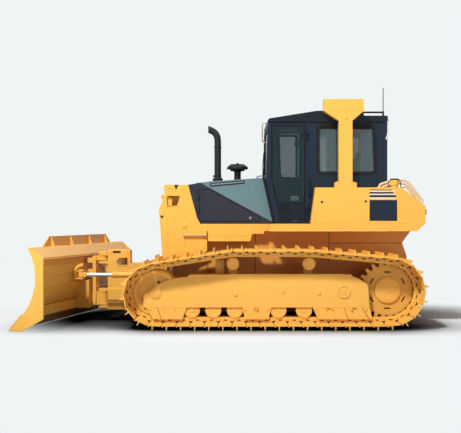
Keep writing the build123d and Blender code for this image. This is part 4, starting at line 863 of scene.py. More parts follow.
# Door handle: its plate, grip and lock, and the pressed edge of the door's lower panel
handleShape = {
    "plate": [(0.725, 1.610), (0.835, 1.610), (0.835, 1.690), (0.705, 1.690)],
    "grip": [(0.735, -0.024, 1.640), (0.825, -0.004, 1.662)],
    "lock": [(0.012, 0.001), (0.012, -0.010), (0.008, -0.012), (0.003, -0.009)], "lockPlace": (1.040, 1.800),
    "panel": [(0.722, 1.500), (1.030, 1.500), (1.030, 1.715), (0.682, 1.715)],
}
handle = [plate(roundedOutline(handleShape["plate"], 0.015), "y", y - 0.006, y + 0.001, 0.002)]
handle += moved([block(*handleShape["grip"], 0.005)], (0, y, 0))
handle += [lathe(handleShape["lock"], place, "y", 16) for place in atSide([handleShape["lockPlace"]], y)]
handle.append(rim(roundedOutline(handleShape["panel"], 0.02), "y", y - 0.003, y + 0.001, 0.006, 0.001))
makePair("cabDoorHandle", handle, "cabDoor", "cab_door")

# Cab trim: a gutter, seams up the pillars, the roof's fins and hatch
cabTrimShape = {
    "gutter": [(0.560, 2.881), (1.40, 2.881), (2.20, 2.881)], "gutterOut": 0.0215,
    "seams": [[(1.105, 1.45), (1.105, 2.10), (1.105, 2.86)], [(2.075, 1.95), (2.075, 2.40), (2.075, 2.86)]],
    "fins": (1.93, 2.13, 9), "fin": [(-0.006, -0.35, 2.957), (0.006, 0.35, 2.967)],
    "hatch": (0.80, -0.42, 1.15, 0.42), "roofFront": (0.545, 2.920), "roofSlope": 0.108 / 0.676,
}
trim = [tube(atSide(cabTrimShape["gutter"], y - cabTrimShape["gutterOut"]), 0.008, 8)]
trim += [tube(atSide(line, y), 0.003, 6) for line in cabTrimShape["seams"]]
roof = []
for x in np.linspace(*cabTrimShape["fins"]):
    roof += moved([block(*cabTrimShape["fin"], 0.002)], (x, 0, 0))
verts, faces = rim(rectangle(*cabTrimShape["hatch"], 0.04), "z", -0.003, 0.008, 0.014)
roofX, roofZ = cabTrimShape["roofFront"]
roof.append((verts + np.outer(roofZ + (verts[:, 0] - roofX) * cabTrimShape["roofSlope"], [0, 0, 1]), faces))
makePiece("cabTrim", bothSides(trim) + roof, "cab")

wiperShape = {
    "y": 0.10, "spindle": (0.020, 0.012), "rear": (2.2165, 1, 2.10, 2.46), "front": (0.5075, -1, 2.115, 2.48),
}


def wiper(x, sign, low, tip):
    # A spindle, a thin arm from it up to the tip, and a blade's strip on the arm; sign is the way it faces.
    y, (wide, narrow) = wiperShape["y"], wiperShape["spindle"]
    spindle = lathe([(wide, 0), (wide, sign * 0.022), (narrow, sign * 0.030)], (x, y, low), "x", 16)
    middle = (x + sign * 0.026, 0.02, low + (tip - low) * 0.5)
    armPath = [(x + sign * 0.022, y, low), middle, (x + sign * 0.016, -0.06, tip)]
    face = x + sign * 0.010
    strip = block((face - 0.004, -0.075, low + 0.12), (face + 0.004, -0.055, tip + 0.12), 0.002)
    return [spindle, tube(armPath, 0.006, 8), strip]


makePiece("cabWipers", wiper(*wiperShape["rear"]) + wiper(*wiperShape["front"]), "plastic")
print("cab shell done")

# Seat: superellipsoid pads
seatShape = {
    "lean": 0.16,
    "pad": {"size": (0.46, 0.48, 0.13), "place": (1.59, 0, 1.80)},
    "back": {"size": (0.56, 0.46, 0.13), "place": (1.845, 0, 2.135)},
    "head": {"size": (0.15, 0.26, 0.09), "place": (1.915, 0, 2.425)},
    "arm": {"size": (0.34, 0.075, 0.05), "place": (1.66, 0.290, 1.995)},
}


def cushion(length, width, height, crown=0.35, channels=0):
    # A superellipsoid: x, y = cos(u)^0.35 times cos(v)^0.32 and sin(v)^0.32, z = sin(u)^0.55, with signs kept.
    # The top is crowned by (1-x^2)(1-y^2), and sewn channels dip it along its length by |cos|^14. The grid stops
    # just short of the poles, so that its caps keep an area.
    u = np.linspace(-math.pi / 2 + 0.0004, math.pi / 2 - 0.0004, 26)[:, None]
    v = np.linspace(0, 2 * math.pi, 64, endpoint=False)[None, :]
    power = lambda value, exponent: np.sign(value) * np.abs(value) ** exponent
    x = power(np.cos(u), 0.35) * power(np.cos(v), 0.32) * length / 2
    y = power(np.cos(u), 0.35) * power(np.sin(v), 0.32) * width / 2
    z = power(np.sin(u), 0.55) * height / 2 * np.ones_like(v)
    z = z + np.where(z > 0, crown * height * (1 - (2 * x / length) ** 2) * (1 - (2 * y / width) ** 2) * 0.4, 0)
    if channels:
        z = z - np.where(z > 0, 0.012 * np.abs(np.cos(math.pi * channels * x / length)) ** 14, 0)
    return shell(np.stack([x, y, z], axis=-1))


upright = -math.pi / 2 + seatShape["lean"]
pad, back, head, arm = [seatShape[key] for key in ("pad", "back", "head", "arm")]
seatPad = moved([cushion(*pad["size"], channels=4)], pad["place"])
backPad = moved(turned([cushion(*back["size"], channels=4)], "y", upright), back["place"])
headPad = moved(turned([cushion(*head["size"])], "y", upright), head["place"])
armPads = []
for side in (-1, 1):
    armPads += moved([cushion(*arm["size"])], np.array(arm["place"]) * (1, side, 1))
pads = {"seatCushion": seatPad, "seatBack": backPad, "seatHeadrest": headPad, "seatArmrests": armPads}
for name, parts in pads.items():
    piece = makePiece(name, parts, "vinyl", sharp=60)
    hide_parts("operator_seat")
standShape = {
    "base": [(1.40, -0.20, 1.432), (1.79, 0.20, 1.50)], "pan": [(1.38, -0.225, 1.690), (1.82, 0.225, 1.735)],
    "bellows": (1.43, -0.17, 1.76, 0.17), "folds": 6, "foldZ": 1.502, "foldStep": 0.031, "foldHeight": 0.028,
    "armPost": [(1.80, 0.255, 1.85), (1.80, 0.290, 1.955), (1.66, 0.290, 1.972)],
}
stand = [block(*standShape["base"], 0.01), block(*standShape["pan"], 0.012)]
for k in range(standShape["folds"]):
    z = standShape["foldZ"] + standShape["foldStep"] * k
    stand.append(plate(rectangle(*standShape["bellows"], 0.03), "z", z, z + standShape["foldHeight"], 0.010))
for side in (-1, 1):
    stand.append(bentBar([(x, side * yy, z) for x, yy, z in standShape["armPost"]], 0.03, 0.013))
piece = makePiece("seatStand", stand, "plastic")
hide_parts("operator_seat")

# Controls: levers with knobs and boots, a screen, a mirror, two pedals, and the pod on its post
controlShape = {
    "levers": ((1.34, -0.42, 0.10), (1.34, 0.42, 0.10), (1.46, 0.42, 0.05)), "leverZ": (1.955, 2.03, 2.10),
    "knob": (0.035, 0.040, 0.105), "knobZ": 2.13, "boots": ((1.34, -0.42, 0), (1.34, 0.42, 0)),
    "boot": [(0.030, 1.958), (0.045, 1.962), (0.020, 1.995), (0.012, 2.000)],
    "screen": [(-0.015, -0.13, -0.09), (0.015, 0.13, 0.09)], "screenPlace": (0.735, 0.05, 2.165),
    "mirror": [(1.015, 2.660), (1.105, 2.665), (1.105, 2.735), (1.015, 2.730)],
    "pedal": [(-0.05, -0.045, -0.006), (0.05, 0.045, 0.006)], "pedals": ((0.98, -0.12, 1.52), (0.98, 0.10, 1.52)),
    "pod": [(0.865, 1.745), (0.995, 1.745), (0.985, 1.830), (0.875, 1.835)],
    "podNeck": (0.925, 1.640, 0.940, 1.750), "podPost": [(0.90, -0.46, 1.445), (0.965, -0.44, 1.645)],
}
controls = []
low, middle, high = controlShape["leverZ"]
for x, yy, lean in controlShape["levers"]:
    controls.append(tube([(x, yy, low), (x - lean * 0.5, yy, middle), (x - lean, yy, high)], 0.008, 10))
    controls += moved([cushion(*controlShape["knob"])], (x - lean, yy, controlShape["knobZ"]))
controls += [lathe(controlShape["boot"], place, "z", 20) for place in controlShape["boots"]]
controls += moved(turned([block(*controlShape["screen"], 0.008)], "y", -0.35), controlShape["screenPlace"])
controls.append(plate(roundedOutline(controlShape["mirror"], 0.03), "y", -0.70, -0.66, 0.008))
for place in controlShape["pedals"]:
    controls += moved(turned([block(*controlShape["pedal"], 0.004)], "y", 0.6), place)
makePiece("cabControls", controls, "plastic")
pod = [plate(roundedOutline(controlShape["pod"], 0.02), "y", -0.52, -0.38, 0.012)]
pod.append(plate(rectangle(*controlShape["podNeck"], 0.003), "y", -0.46, -0.445))
pod.append(block(*controlShape["podPost"], 0.003))
makePiece("cabPod", pod, "lightGrey")
print("cab interior done")

# Rear boxes: bars of two tones above a bare dark square, bolts, and the trim of the roll-over frame's post
boxShape = {
    "face": -0.960, "square": (1.939, 1.4735, 2.325, 1.766), "barsX": 1.939,
    "bars": [(2.251, 1.905, 0.011), (2.269, 1.865, 0.022), (2.307, 1.819, 0.028)], "barSlant": 0.004,
    "paleX": 2.300, "paleZ": [1.887, 1.843, 1.791], "paleHalf": 0.0075,
    "darkBolts": [(1.2755, 1.737), (1.889, 1.747)], "bolts": [(1.60, 1.380), (2.10, 1.380), (2.20, 1.380)],
    "footBolts": [(x, yy, 2.010) for x in (1.490, 1.728) for yy in (-0.845, -0.925)],
    "welds": (1.515, 1.699), "weldY": (-0.958, -0.815), "weldZ": 2.012,
    "head": (1.345, 3.037, 1.820, 3.000), "plug": [(0.026, 0.0), (0.026, -0.006), (0.018, -0.010), (0.006, -0.010)],
    "plugPlace": (1.607, 2.92),
}
y, left = boxShape["face"], boxShape["barsX"]
bars = [plate(rectangle(*boxShape["square"]), "y", y - 0.0015, y + 0.001)]
for end, z, thick in boxShape["bars"]:
    low, high = z - thick / 2, z + thick / 2
    outline = [(left, low), (end, low), (end + boxShape["barSlant"], high), (left, high)]
    bars.append(plate(outline, "y", y - 0.0015, y + 0.001))
makePiece("boxStripes", bothSides(bars), "cab")
half, right = boxShape["paleHalf"], boxShape["paleX"]
pale = [plate(rectangle(left, z - half, right, z + half), "y", y - 0.0012, y + 0.001) for z in boxShape["paleZ"]]
makePiece("boxPaleLines", bothSides(pale), "lightGrey")
makePiece("boxBolts", bothSides(bolts(atSide(boxShape["darkBolts"], y), "y", 0.013, 0.010, -1)), "iron")
trim = bolts(atSide(boxShape["bolts"], y), "y", 0.010, 0.009, -1) + bolts(boxShape["footBolts"], "z", 0.013, 0.014)
for x in boxShape["welds"]:
    trim.append(tube([(x, yy, boxShape["weldZ"]) for yy in boxShape["weldY"]], 0.008, 8))
trim.append(rim(rectangle(*boxShape["head"], 0.01)[::-1], "y", y - 0.002, y + 0.001, 0.006, 0.001))
trim += [lathe(boxShape["plug"], place, "y", 20) for place in atSide([boxShape["plugPlace"]], y)]
makePiece("boxTrim", bothSides(trim), "yellow")

# Filler: a band and grips round the cap, and a bail over it
fillerShape = {
    "place": (2.297, -0.900, 0), "band": [(0.061, 2.048), (0.0635, 2.052), (0.0635, 2.060), (0.061, 2.064)],
    "bail": [(2.212, 1.945), (2.212, 2.030), (2.262, 2.062), (2.335, 2.062), (2.384, 2.025), (2.384, 1.945)],
    "grip": [(0.058, -0.006, 1.982), (0.0625, 0.006, 2.040)], "grips": 12,
}
filler = fillerShape["place"]
bail = bentBar(atSide(fillerShape["bail"], filler[1]), 0.04, 0.006)
makePiece("fillerBail", [lathe(fillerShape["band"], filler, "z", 28), bail], "black")
grips = []
for k in range(fillerShape["grips"]):
    grips += moved(turned([block(*fillerShape["grip"], 0.002)], "z", 2 * math.pi * k / fillerShape["grips"]), filler)
makePiece("fillerGrips", grips, "yellow")

# Rails bent over the rear boxes, and the grab handle at the cab's left front corner
railShape = {
    "y": -0.815, "radius": 0.018, "bend": 0.045,
    "outer": [(2.085, 1.930), (2.110, 1.990), (2.306, 2.051), (2.450, 2.047),
              (2.510, 2.015), (2.712, 1.750), (2.668, 1.716)],
    "inner": [(2.130, 1.930), (2.150, 1.955), (2.312, 2.006), (2.440, 2.003),
              (2.490, 1.975), (2.660, 1.752), (2.636, 1.738)],
    "feet": (2.085, 2.130), "foot": [(0.028, 1.938), (0.028, 1.946), (0.022, 1.950), (0.016, 1.950)],
    "grab": [(0.545, 2.861), (0.449, 2.852), (0.449, 2.590), (0.535, 2.575)], "grabY": -0.765, "grabRadius": 0.009,
}
rails = []
for line in (railShape["outer"], railShape["inner"]):
    rails.append(bentBar(atSide(line, railShape["y"]), railShape["bend"], railShape["radius"], 14))
rails += [lathe(railShape["foot"], (x, railShape["y"], 0), "z", 20) for x in railShape["feet"]]
piece = makePiece("rearRails", bothSides(rails), "cream")
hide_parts("handrails")
grab = bentBar(atSide(railShape["grab"], railShape["grabY"]), 0.035, railShape["grabRadius"], 12)
piece = makePiece("cabGrabHandle", [grab], "steel")
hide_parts("handrails")

# Fuel tank's rear: a pressed panel, a hatch on the slope, bolts and two steps; and the tail lamps
tankShape = {
    "panel": (-0.66, 1.47, 0.66, 1.65), "panelX": (2.719, 2.7265), "hatch": (-0.60, 0.05, 0.60, 0.36),
    "slope": math.atan2(0.335, 0.260), "slopeFoot": (2.722, 0, 1.680),
    "bolts": [(2.7225, yy, z) for yy in (-0.60, 0.60) for z in (1.50, 1.62)],
    "steps": (1.49, 1.575), "stepX": (2.722, 2.752), "stepHalf": 0.18,
    "lampY": 0.870, "lampZ": 1.600, "bezel": (2.720, 2.738, 0.055, 0.045), "lens": (2.736, 2.744, 0.045, 0.035),
}
tank = [rim(rectangle(*tankShape["panel"], 0.03), "x", *tankShape["panelX"], 0.012)]
hatch = rim(rectangle(*tankShape["hatch"], 0.04), "x", -0.002, 0.006, 0.014)
tank += moved(turned([hatch], "y", -(math.pi / 2 - tankShape["slope"])), tankShape["slopeFoot"])
tank += bolts(tankShape["bolts"], "x", 0.011, 0.010)
(near, out), half = tankShape["stepX"], tankShape["stepHalf"]
for z in tankShape["steps"]:
    tank.append(bentBar([(near, -half, z), (out, -half, z), (out, half, z), (near, half, z)], 0.02, 0.010))
makePiece("tankTrim", tank, "yellow")
for name, key, bevel, finish in (("tailLamps", "lens", 0.004, "red"), ("tailLampBezels", "bezel", 0.006, "plastic")):
    x0, x1, halfY, halfZ = tankShape[key]
    parts = []
    for yy in (-tankShape["lampY"], tankShape["lampY"]):
        z = tankShape["lampZ"]
        parts.append(block((x0, yy - halfY, z - halfZ), (x1, yy + halfY, z + halfZ), bevel))
    makePiece(name, parts, finish)

# Treads on the steps in rows, and the edges and seams of the platform
stepShape = {
    "platform": {"x": (0.575, 1.085, 0.045), "y": (-0.935, -0.895, -0.855, -0.815), "z": (1.428, 1.434)},
    "lower": {"x": (-0.300, 0.270, 0.045), "y": (-0.735, -0.700, -0.665, -0.630), "z": (1.263, 1.269)},
    "length": 0.026, "half": 0.004,
    "edge": [(0.545, 1.331), (1.40, 1.331), (2.225, 1.331)],
    "upperEdge": [(1.118, 1.4365), (1.70, 1.4365), (2.722, 1.4365)],
    "lowerSeam": [(-0.325, 1.2645), (0.290, 1.2645)],
}
treads, half, length = [], stepShape["half"], stepShape["length"]
for rows in (stepShape["platform"], stepShape["lower"]):
    low, high = rows["z"]
    for x in np.arange(*rows["x"]):
        treads += [block((x, yy - half, low), (x + length, yy + half, high), 0.0015) for yy in rows["y"]]
makePiece("stepTreads", bothSides(treads), "yellow")
edges = [tube(atSide(stepShape["edge"], -0.959), 0.006, 8), tube(atSide(stepShape["upperEdge"], -0.9605), 0.0025, 6)]
edges.append(seam(stepShape["lowerSeam"], "y", -0.751, 0.004))
makePiece("platformSeams", bothSides(edges), "yellow")
print("rear boxes and platform done")

# Hull: side seams, bolts and a skid plate under its sloping belly, a cover on the slope behind, the drawbar's pin
hullShape = {
    "face": -0.462, "belly": (-0.76, 0.42), "bellySlope": 0.02 / 2.51,
    "seams": [[(1.422, 1.325), (1.422, 0.830)], [(1.422, 1.153), (2.474, 1.153)],
              [(-0.60, 0.980), (0.30, 0.980)], [(0.36, 1.325), (0.36, 0.640)]],
    "bolts": (-0.60, 1.62, 9), "boltY": 0.38, "skid": (-0.68, -0.41, 1.68, 0.41),
    "cover": (-0.30, 0.08, 0.30, 0.36), "coverBolts": (0.006, 0.0, 0.22), "rearSlope": math.atan2(0.249, 0.387),
    "rearFoot": (2.300, 0, 0.560), "pinX": 2.70,
    "pin": [(0.028, 0.560), (0.028, 0.662), (0.044, 0.664), (0.044, 0.682), (0.038, 0.688)],
    "pinLoop": [(-0.030, 0.684), (-0.030, 0.740), (0.030, 0.740), (0.030, 0.684)],
}


def bellyZ(x):
    # The belly's height: it falls from the front to the rear.
    startX, startZ = hullShape["belly"]
    return startZ - (x - startX) * hullShape["bellySlope"]


seams = [seam(line, "y", hullShape["face"], 0.008) for line in hullShape["seams"]]
makePiece("hullSeams", bothSides(seams), "iron")
hull = []
for x in np.linspace(*hullShape["bolts"]):
    for yy in (-hullShape["boltY"], hullShape["boltY"]):
        hull += moved(turned(bolts([(0, 0, 0)], "z", 0.014, 0.012), "x", math.pi), (x, yy, bellyZ(x) + 0.001))
verts, faces = rim(rectangle(*hullShape["skid"], 0.04), "z", -0.006, 0.010, 0.03, 0.003)
verts = verts * np.array([1, 1, -1])
verts[:, 2] += bellyZ(verts[:, 0])
hull.append((verts, [group[:, ::-1] for group in faces]))
cover = [rim(rectangle(*hullShape["cover"], 0.05), "x", -0.002, 0.008, 0.016)]
cover += ringBolts(hullShape["coverBolts"], "x", 0.09, 8, 0.010, 0.010)
hull += moved(turned(cover, "y", hullShape["rearSlope"]), hullShape["rearFoot"])
makePiece("hullTrim", hull, "yellow")
pinLoop = bentBar([(hullShape["pinX"], yy, z) for yy, z in hullShape["pinLoop"]], 0.02, 0.007)
makePiece("hitchPin", [lathe(hullShape["pin"], (hullShape["pinX"], 0, 0), "z", 28), pinLoop], "steel")
print("hull done")

# Blade: drawn straight ahead, then swung to where it is parked
bladeShape = {
    "front": -2.279, "half": 1.920, "arc": [(0.0, 1.123), (0.107, 0.718), (-0.045, 0.270)],
    "ribs": [0.46, 0.60, 0.745, 0.87], "ribEnds": ((-1.892, -0.21), (0.21, 1.892)),
    "topBead": (0.007, 1.20, 1.256, 0.008), "shelfBead": (0.165, 1.892, 0.962, 0.006),
    "endBolts": [(0.150, 0.90), (0.150, 0.62), (0.150, 0.34)],
    "edgeLean": math.atan2(0.258, 0.214), "edgeTop": (-0.045, 0.270), "edgeProud": 0.025,
    "edgeBolts": 22, "edgeBoltY": 1.80, "edgeBoltRows": (0.105, 0.190),
    "edgeBolt": [(0.017, -0.001), (0.017, 0.003), (0.012, 0.005), (0.006, 0.003)],
    "backPlate": (0.135, 0.215, -2.075, 0.575), "backPlateY": (-0.2035, -0.199),
    "ball": (-2.052, 0, 0.330), "ballCap": [(0.072, 0.0), (0.072, 0.012), (0.062, 0.018), (0.020, 0.018)],
    "tiltPin": (-2.052, 0.740, 0.850), "tiltPinCap": [(0.020, 0.0), (0.020, 0.010), (0.014, 0.014)],
}
fx = bladeShape["front"]


def bladeFace(z, depth=0.0):
    # The circle through the three points of the arc, a depth behind its face.
    (x1, z1), (x2, z2), (x3, z3) = bladeShape["arc"]
    a = np.array([[x2 - x1, z2 - z1], [x3 - x1, z3 - z1]]) * 2
    b = np.array([x2 ** 2 + z2 ** 2 - x1 ** 2 - z1 ** 2, x3 ** 2 + z3 ** 2 - x1 ** 2 - z1 ** 2])
    cx, cz = np.linalg.solve(a, b)
    r = math.hypot(x1 - cx, z1 - cz) + depth
    return fx + cx + np.sqrt(r ** 2 - (np.asarray(z) - cz) ** 2)


ribs = []
for z in bladeShape["ribs"]:
    x = float(bladeFace(z, 0.022))
    ribs += [block((x - 0.006, a, z - 0.007), (x + 0.010, b, z + 0.007), 0.004) for a, b in bladeShape["ribEnds"]]
for key in ("topBead", "shelfBead"):
    back, half, z, radius = bladeShape[key]
    ribs.append(tube([(fx + back, yy, z) for yy in (-half, 0, half)], radius, 8))
for side in (-1, 1):
    places = [(fx + x, side * bladeShape["half"] - side * 0.001, z) for x, z in bladeShape["endBolts"]]
    ribs += bolts(places, "y", 0.011, 0.009, side)
makePiece("bladeRibs", swung(ribs), "yellow", "blade")
down, level = math.sin(bladeShape["edgeLean"]), math.cos(bladeShape["edgeLean"])
edgeX, edgeZ, proud = fx + bladeShape["edgeTop"][0], bladeShape["edgeTop"][1], bladeShape["edgeProud"]
heads = []
for k in range(bladeShape["edgeBolts"]):
    yy = -bladeShape["edgeBoltY"] + 2 * bladeShape["edgeBoltY"] * k / (bladeShape["edgeBolts"] - 1)
    for along in bladeShape["edgeBoltRows"]:
        place = (edgeX - level * along - down * proud, yy, edgeZ - down * along + level * proud)
        head = lathe(bladeShape["edgeBolt"], (0, 0, 0), "z", 14)
        heads += moved(turned([head], "y", -bladeShape["edgeLean"]), place)
makePiece("edgeBolts", swung(heads), "steel", "blade")
left, low, right, high = bladeShape["backPlate"]
back = [rim(rectangle(fx + left, low, right, high, 0.02), "y", *bladeShape["backPlateY"], 0.014, 0.001)]
back.append(lathe(bladeShape["ballCap"], bladeShape["ball"], "x", 32))
back += ringBolts(np.add(bladeShape["ball"], (0.001, 0, 0)), "x", 0.105, 6, 0.011, 0.010, 1, 0.5)
back.append(lathe(bladeShape["tiltPinCap"], bladeShape["tiltPin"], "x", 20))
makePiece("bladeBackTrim", swung(back), "yellow", "blade")

# Yoke: the tilt cylinder passes on the right, so its strap is on the left only
yokeShape = {
    "strap": [(-2.138, 0.650), (-2.128, 0.770), (-2.070, 0.845), (-1.985, 0.872),
              (-1.975, 0.832), (-2.045, 0.806), (-2.092, 0.750), (-2.098, 0.650)], "strapY": (-0.640, -0.618),
    "pinX": -2.025, "pinY": 0.580, "pinCap": [(0.046, 0.7595), (0.046, 0.768), (0.038, 0.774), (0.012, 0.774)],
    "rings": ((0.2255, 0.246, 0.0795), (0.404, 0.4245, 0.0795), (0.887, 0.899, 0.076), (0.941, 0.953, 0.076)),
    "frontBolts": (-2.1405, 0, 0.700), "backBolts": [(-1.979, yy, z) for z in (0.50, 0.80) for yy in (-0.060, 0.060)],
}
yoke = [plate(roundedOutline(yokeShape["strap"], 0.012), "y", *yokeShape["strapY"], 0.003)]
for side in (-1, 1):
    yoke.append(lathe(yokeShape["pinCap"], (yokeShape["pinX"], side * yokeShape["pinY"], 0), "z", 24))
for low, high, r in yokeShape["rings"]:
    profile = [(r - 0.006, low), (r, low + 0.004), (r, high - 0.004), (r - 0.006, high)]
    yoke.append(lathe(profile, (angleX, 0, 0), "z", 32))
yoke += ringBolts(yokeShape["frontBolts"], "x", 0.035, 4, 0.010, 0.010, -1, 0.785)
yoke += bolts(yokeShape["backBolts"], "x", 0.011, 0.010)
makePiece("yokeTrim", swung(yoke), "yellow", "blade_yoke")
print("blade done")

# C-frame: caps on the angle pin, its window's band, bolts, a top plate, and trim on the push arms
armShape = {
    "pinTop": [(0.068, 0.999), (0.068, 1.010), (0.058, 1.018), (0.020, 1.018)], "pinBolts": (angleX, 0, 1.016),
    "pinFoot": [(0.060, 0.181), (0.060, 0.172), (0.052, 0.166), (0.020, 0.166)],
    "window": [(-1.690, 0.870), (-1.645, 0.812), (-1.520, 0.812), (-1.520, 0.928), (-1.645, 0.928)],
    "bolts": [(-1.770, 1.000), (-1.770, 0.530), (-1.520, 1.000), (-1.440, 0.790), (-1.300, 0.790), (-1.280, 0.530)],
    "half": 0.150, "top": [(-1.79, -0.13, 1.036), (-1.50, 0.13, 1.048)], "topBolts": [(-1.75, 1.047), (-1.54, 1.047)],
    "armFace": -0.566, "eye": (-0.870, 0.700),
    "eyeCap": [(0.034, 0.0), (0.034, -0.006), (0.028, -0.010), (0.010, -0.010)],
    "earCap": [(0.034, 0.754), (0.034, 0.760), (0.028, 0.765), (0.010, 0.765)], "ear": (-1.000, -0.514, 0),
    "weld": [(-1.46, 0.186), (-1.215, 0.212), (-0.905, 0.418)],
    "armBolts": [(x, z) for z in (0.250, 0.420) for x in (-1.430, -1.260)],
    "slot": (-1.737, 0.996, -1.620, 1.030), "slotY": (-0.1512, -0.149), "groove": [(-1.806, 0.305), (-1.600, 0.305)],
}
arms = [lathe(armShape["pinTop"], (angleX, 0, 0), "z", 32)]
arms += ringBolts(armShape["pinBolts"], "z", 0.040, 4, 0.009, 0.009)
arms.append(lathe(armShape["pinFoot"], (angleX, 0, 0), "z", 32))
window = inset(np.array(armShape["window"]), -0.012)
arms += [rim(window, "y", -0.154, -0.149, 0.012, 0.001), rim(window, "y", 0.149, 0.154, 0.012, 0.001)]
for place in armShape["bolts"]:
    for side in (-1, 1):
        arms += bolts(atSide([place], side * armShape["half"]), "y", 0.012, 0.010, side)
arms.append(block(*armShape["top"], 0.005))
for place in armShape["topBolts"]:
    arms += bolts(atSide([place], -0.09) + atSide([place], 0.09), "z", 0.011, 0.010)
y = armShape["armFace"]
trim = [lathe(armShape["eyeCap"], atSide([armShape["eye"]], y)[0], "y", 24)]
trim.append(lathe(armShape["earCap"], armShape["ear"], "z", 24))
trim.append(tube(atSide(armShape["weld"], y), 0.004, 6))
trim += bolts(atSide(armShape["armBolts"], y), "y", 0.012, 0.010, -1)
makePiece("bladeFrameTrim", arms + bothSides(trim), "yellow", "blade_frame")
# The dark plate high on each side of the tower is a painted shadow in a slit; the dark groove lower down is a seam
slitShadesAndGroove = [plate(rectangle(*armShape["slot"]), "y", *armShape["slotY"]), seam(armShape["groove"], "y", -0.170, 0.010)]
makePiece("bladeFrameSlitShadesAndGroove", bothSides(slitShadesAndGroove), "iron", "blade_frame")
print("blade frame done")

# Cylinders: mouth is the barrel's length from its base, and pipe is where its hard line starts and ends
cylinderShape = {
    "lift": {"base": (-0.660, 0.521, 1.410), "eye": (-0.870, 0.521, 0.700), "radius": 0.045, "mouth": 0.198,
             "rod": 0.028},
    "angle": {"base": (-1.000, 0.514, 0.700), "radius": 0.042, "mouth": 0.700, "rod": 0.028, "pipe": (0.12, 0.64)},
    "tilt": {"base": (-2.090, 0.060, 0.885), "eye": (-2.090, 0.740, 0.850), "radius": 0.036, "mouth": 0.480,
             "rod": 0.022, "pipe": (0.11, 0.42)},
    "eyePlace": (-0.125, 0.580, 0.700),
    "sleeveHalf": 0.036, "sleeve": (-0.078, -0.030), "sleeveRing": [(0.030, -0.088), (0.034, -0.084), (0.034, -0.077)],
    "collar": [(0.0435, -0.0375), (0.0450, -0.0340), (0.0450, 0.0340), (0.0435, 0.0375)],
}


def gland(shape):
    # The head at a barrel's mouth: a collar with a chamfer, and a wiper ring on the rod.
    radius, mouth, rod = shape["radius"], shape["mouth"], shape["rod"]
    wide, narrow, end = radius + 0.005, radius - 0.004, mouth + 0.008
    collar = [(radius - 0.002, mouth - 0.060), (wide, mouth - 0.056), (wide, mouth - 0.006), (radius, mouth - 0.001)]
    ring = [(narrow, mouth - 0.002), (narrow, mouth + 0.004), (rod + 0.008, end), (rod + 0.002, end)]
    return [lathe(profile, (0, 0, 0), "z", 28) for profile in (collar, ring)]


def pipeAlong(shape):
    # A hard line along a barrel, bent in at both ends to meet it.
    near, out, (start, end) = shape["radius"] - 0.004, shape["radius"] + 0.016, shape["pipe"]
    path = [(near, 0, start), (out, 0, start + 0.012), (out, 0, end - 0.012), (near, 0, end)]
    return turned([bentBar(path, 0.012, 0.006)], "z", math.pi / 2)


def eyeOf(side):
    # Where the parked blade's yoke holds an angle cylinder's eye.
    x, y, z = cylinderShape["eyePlace"]
    c, s = math.cos(restAngle), math.sin(restAngle)
    return (angleX + x * c - side * y * s, x * s + side * y * c, z)


lift, angle, tilt = [cylinderShape[key] for key in ("lift", "angle", "tilt")]
half, (sleeveStart, sleeveEnd) = cylinderShape["sleeveHalf"], cylinderShape["sleeve"]
for side, word in ((-1, "left"), (1, "right")):
    name = word.capitalize()
    base, eye = [(x, side * yy, z) for x, yy, z in (lift["base"], lift["eye"])]
    makePiece("liftGland" + name, aimed(gland(lift), base, eye), "yellow", "lift_barrel_" + word)
    x, yy, z = angle["base"]
    base, eye = (x, side * yy, z), eyeOf(side)
    length = float(np.linalg.norm(np.subtract(eye, base)))
    makePiece("angleGland" + name, aimed(gland(angle) + pipeAlong(angle), base, eye), "yellow", "angle_barrel_" + word)
    outline = rectangle(-half, -half, half, half, 0.012)
    sleeve = [plate(outline, "z", length + sleeveStart, length + sleeveEnd, 0.006)]
    sleeve.append(lathe([(radius, length + back) for radius, back in cylinderShape["sleeveRing"]], (0, 0, 0), "z", 24))
    collar = lathe(cylinderShape["collar"], eye, "z", 28)
    makePiece("angleRodEnd" + name, aimed(sleeve, base, eye) + [collar], "yellow", "angle_rod_" + word)
parts = aimed(gland(tilt) + pipeAlong(tilt), tilt["base"], tilt["eye"])
makePiece("tiltGland", swung(parts), "yellow", "tilt_barrel")
print("cylinders done")

# The stack's bent top, with its mouth cut upright, on its foot
stackShape = {
    "radius": 0.050, "wall": 0.005, "mouth": -0.331,
    "path": [(-0.190, 2.030), (-0.190, 2.660), (-0.196, 2.720), (-0.222, 2.775), (-0.270, 2.812), (-0.330, 2.836)],
    "foot": [(0.076, 2.020), (0.076, 2.104), (0.070, 2.110), (0.050, 2.110)], "footX": -0.190,
}


def bentStack(radius):
    # The section follows the path; its last ring slides along the pipe onto the upright plane of the mouth.
    path = smoothPath(atSide(stackShape["path"], 0), 0.05, 4)
    tangent = np.gradient(path, axis=0)
    tangent /= np.linalg.norm(tangent, axis=1)[:, None]
    angle = np.linspace(0, 2 * math.pi, 28, endpoint=False)[None, :, None]
    across = np.stack([-tangent[:, 2], np.zeros(len(path)), tangent[:, 0]], axis=1)[:, None, :]
    rings = path[:, None, :] + radius * (np.cos(angle) * across + np.sin(angle) * np.array([0, 1, 0]))
    slide = (stackShape["mouth"] - rings[-1, :, 0]) / tangent[-1, 0]
    rings[-1] += slide[:, None] * tangent[-1]
    return rings


outerWall, innerWall = bentStack(stackShape["radius"]), bentStack(stackShape["radius"] - stackShape["wall"])
pipe = ringShell(np.concatenate([outerWall, innerWall[::-1]]))
foot = lathe(stackShape["foot"], (stackShape["footX"], 0, 0), "z", 32)
piece = makePiece("exhaustStack", [pipe, foot], "black")
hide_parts("exhaust_pipe")
print("stack done")

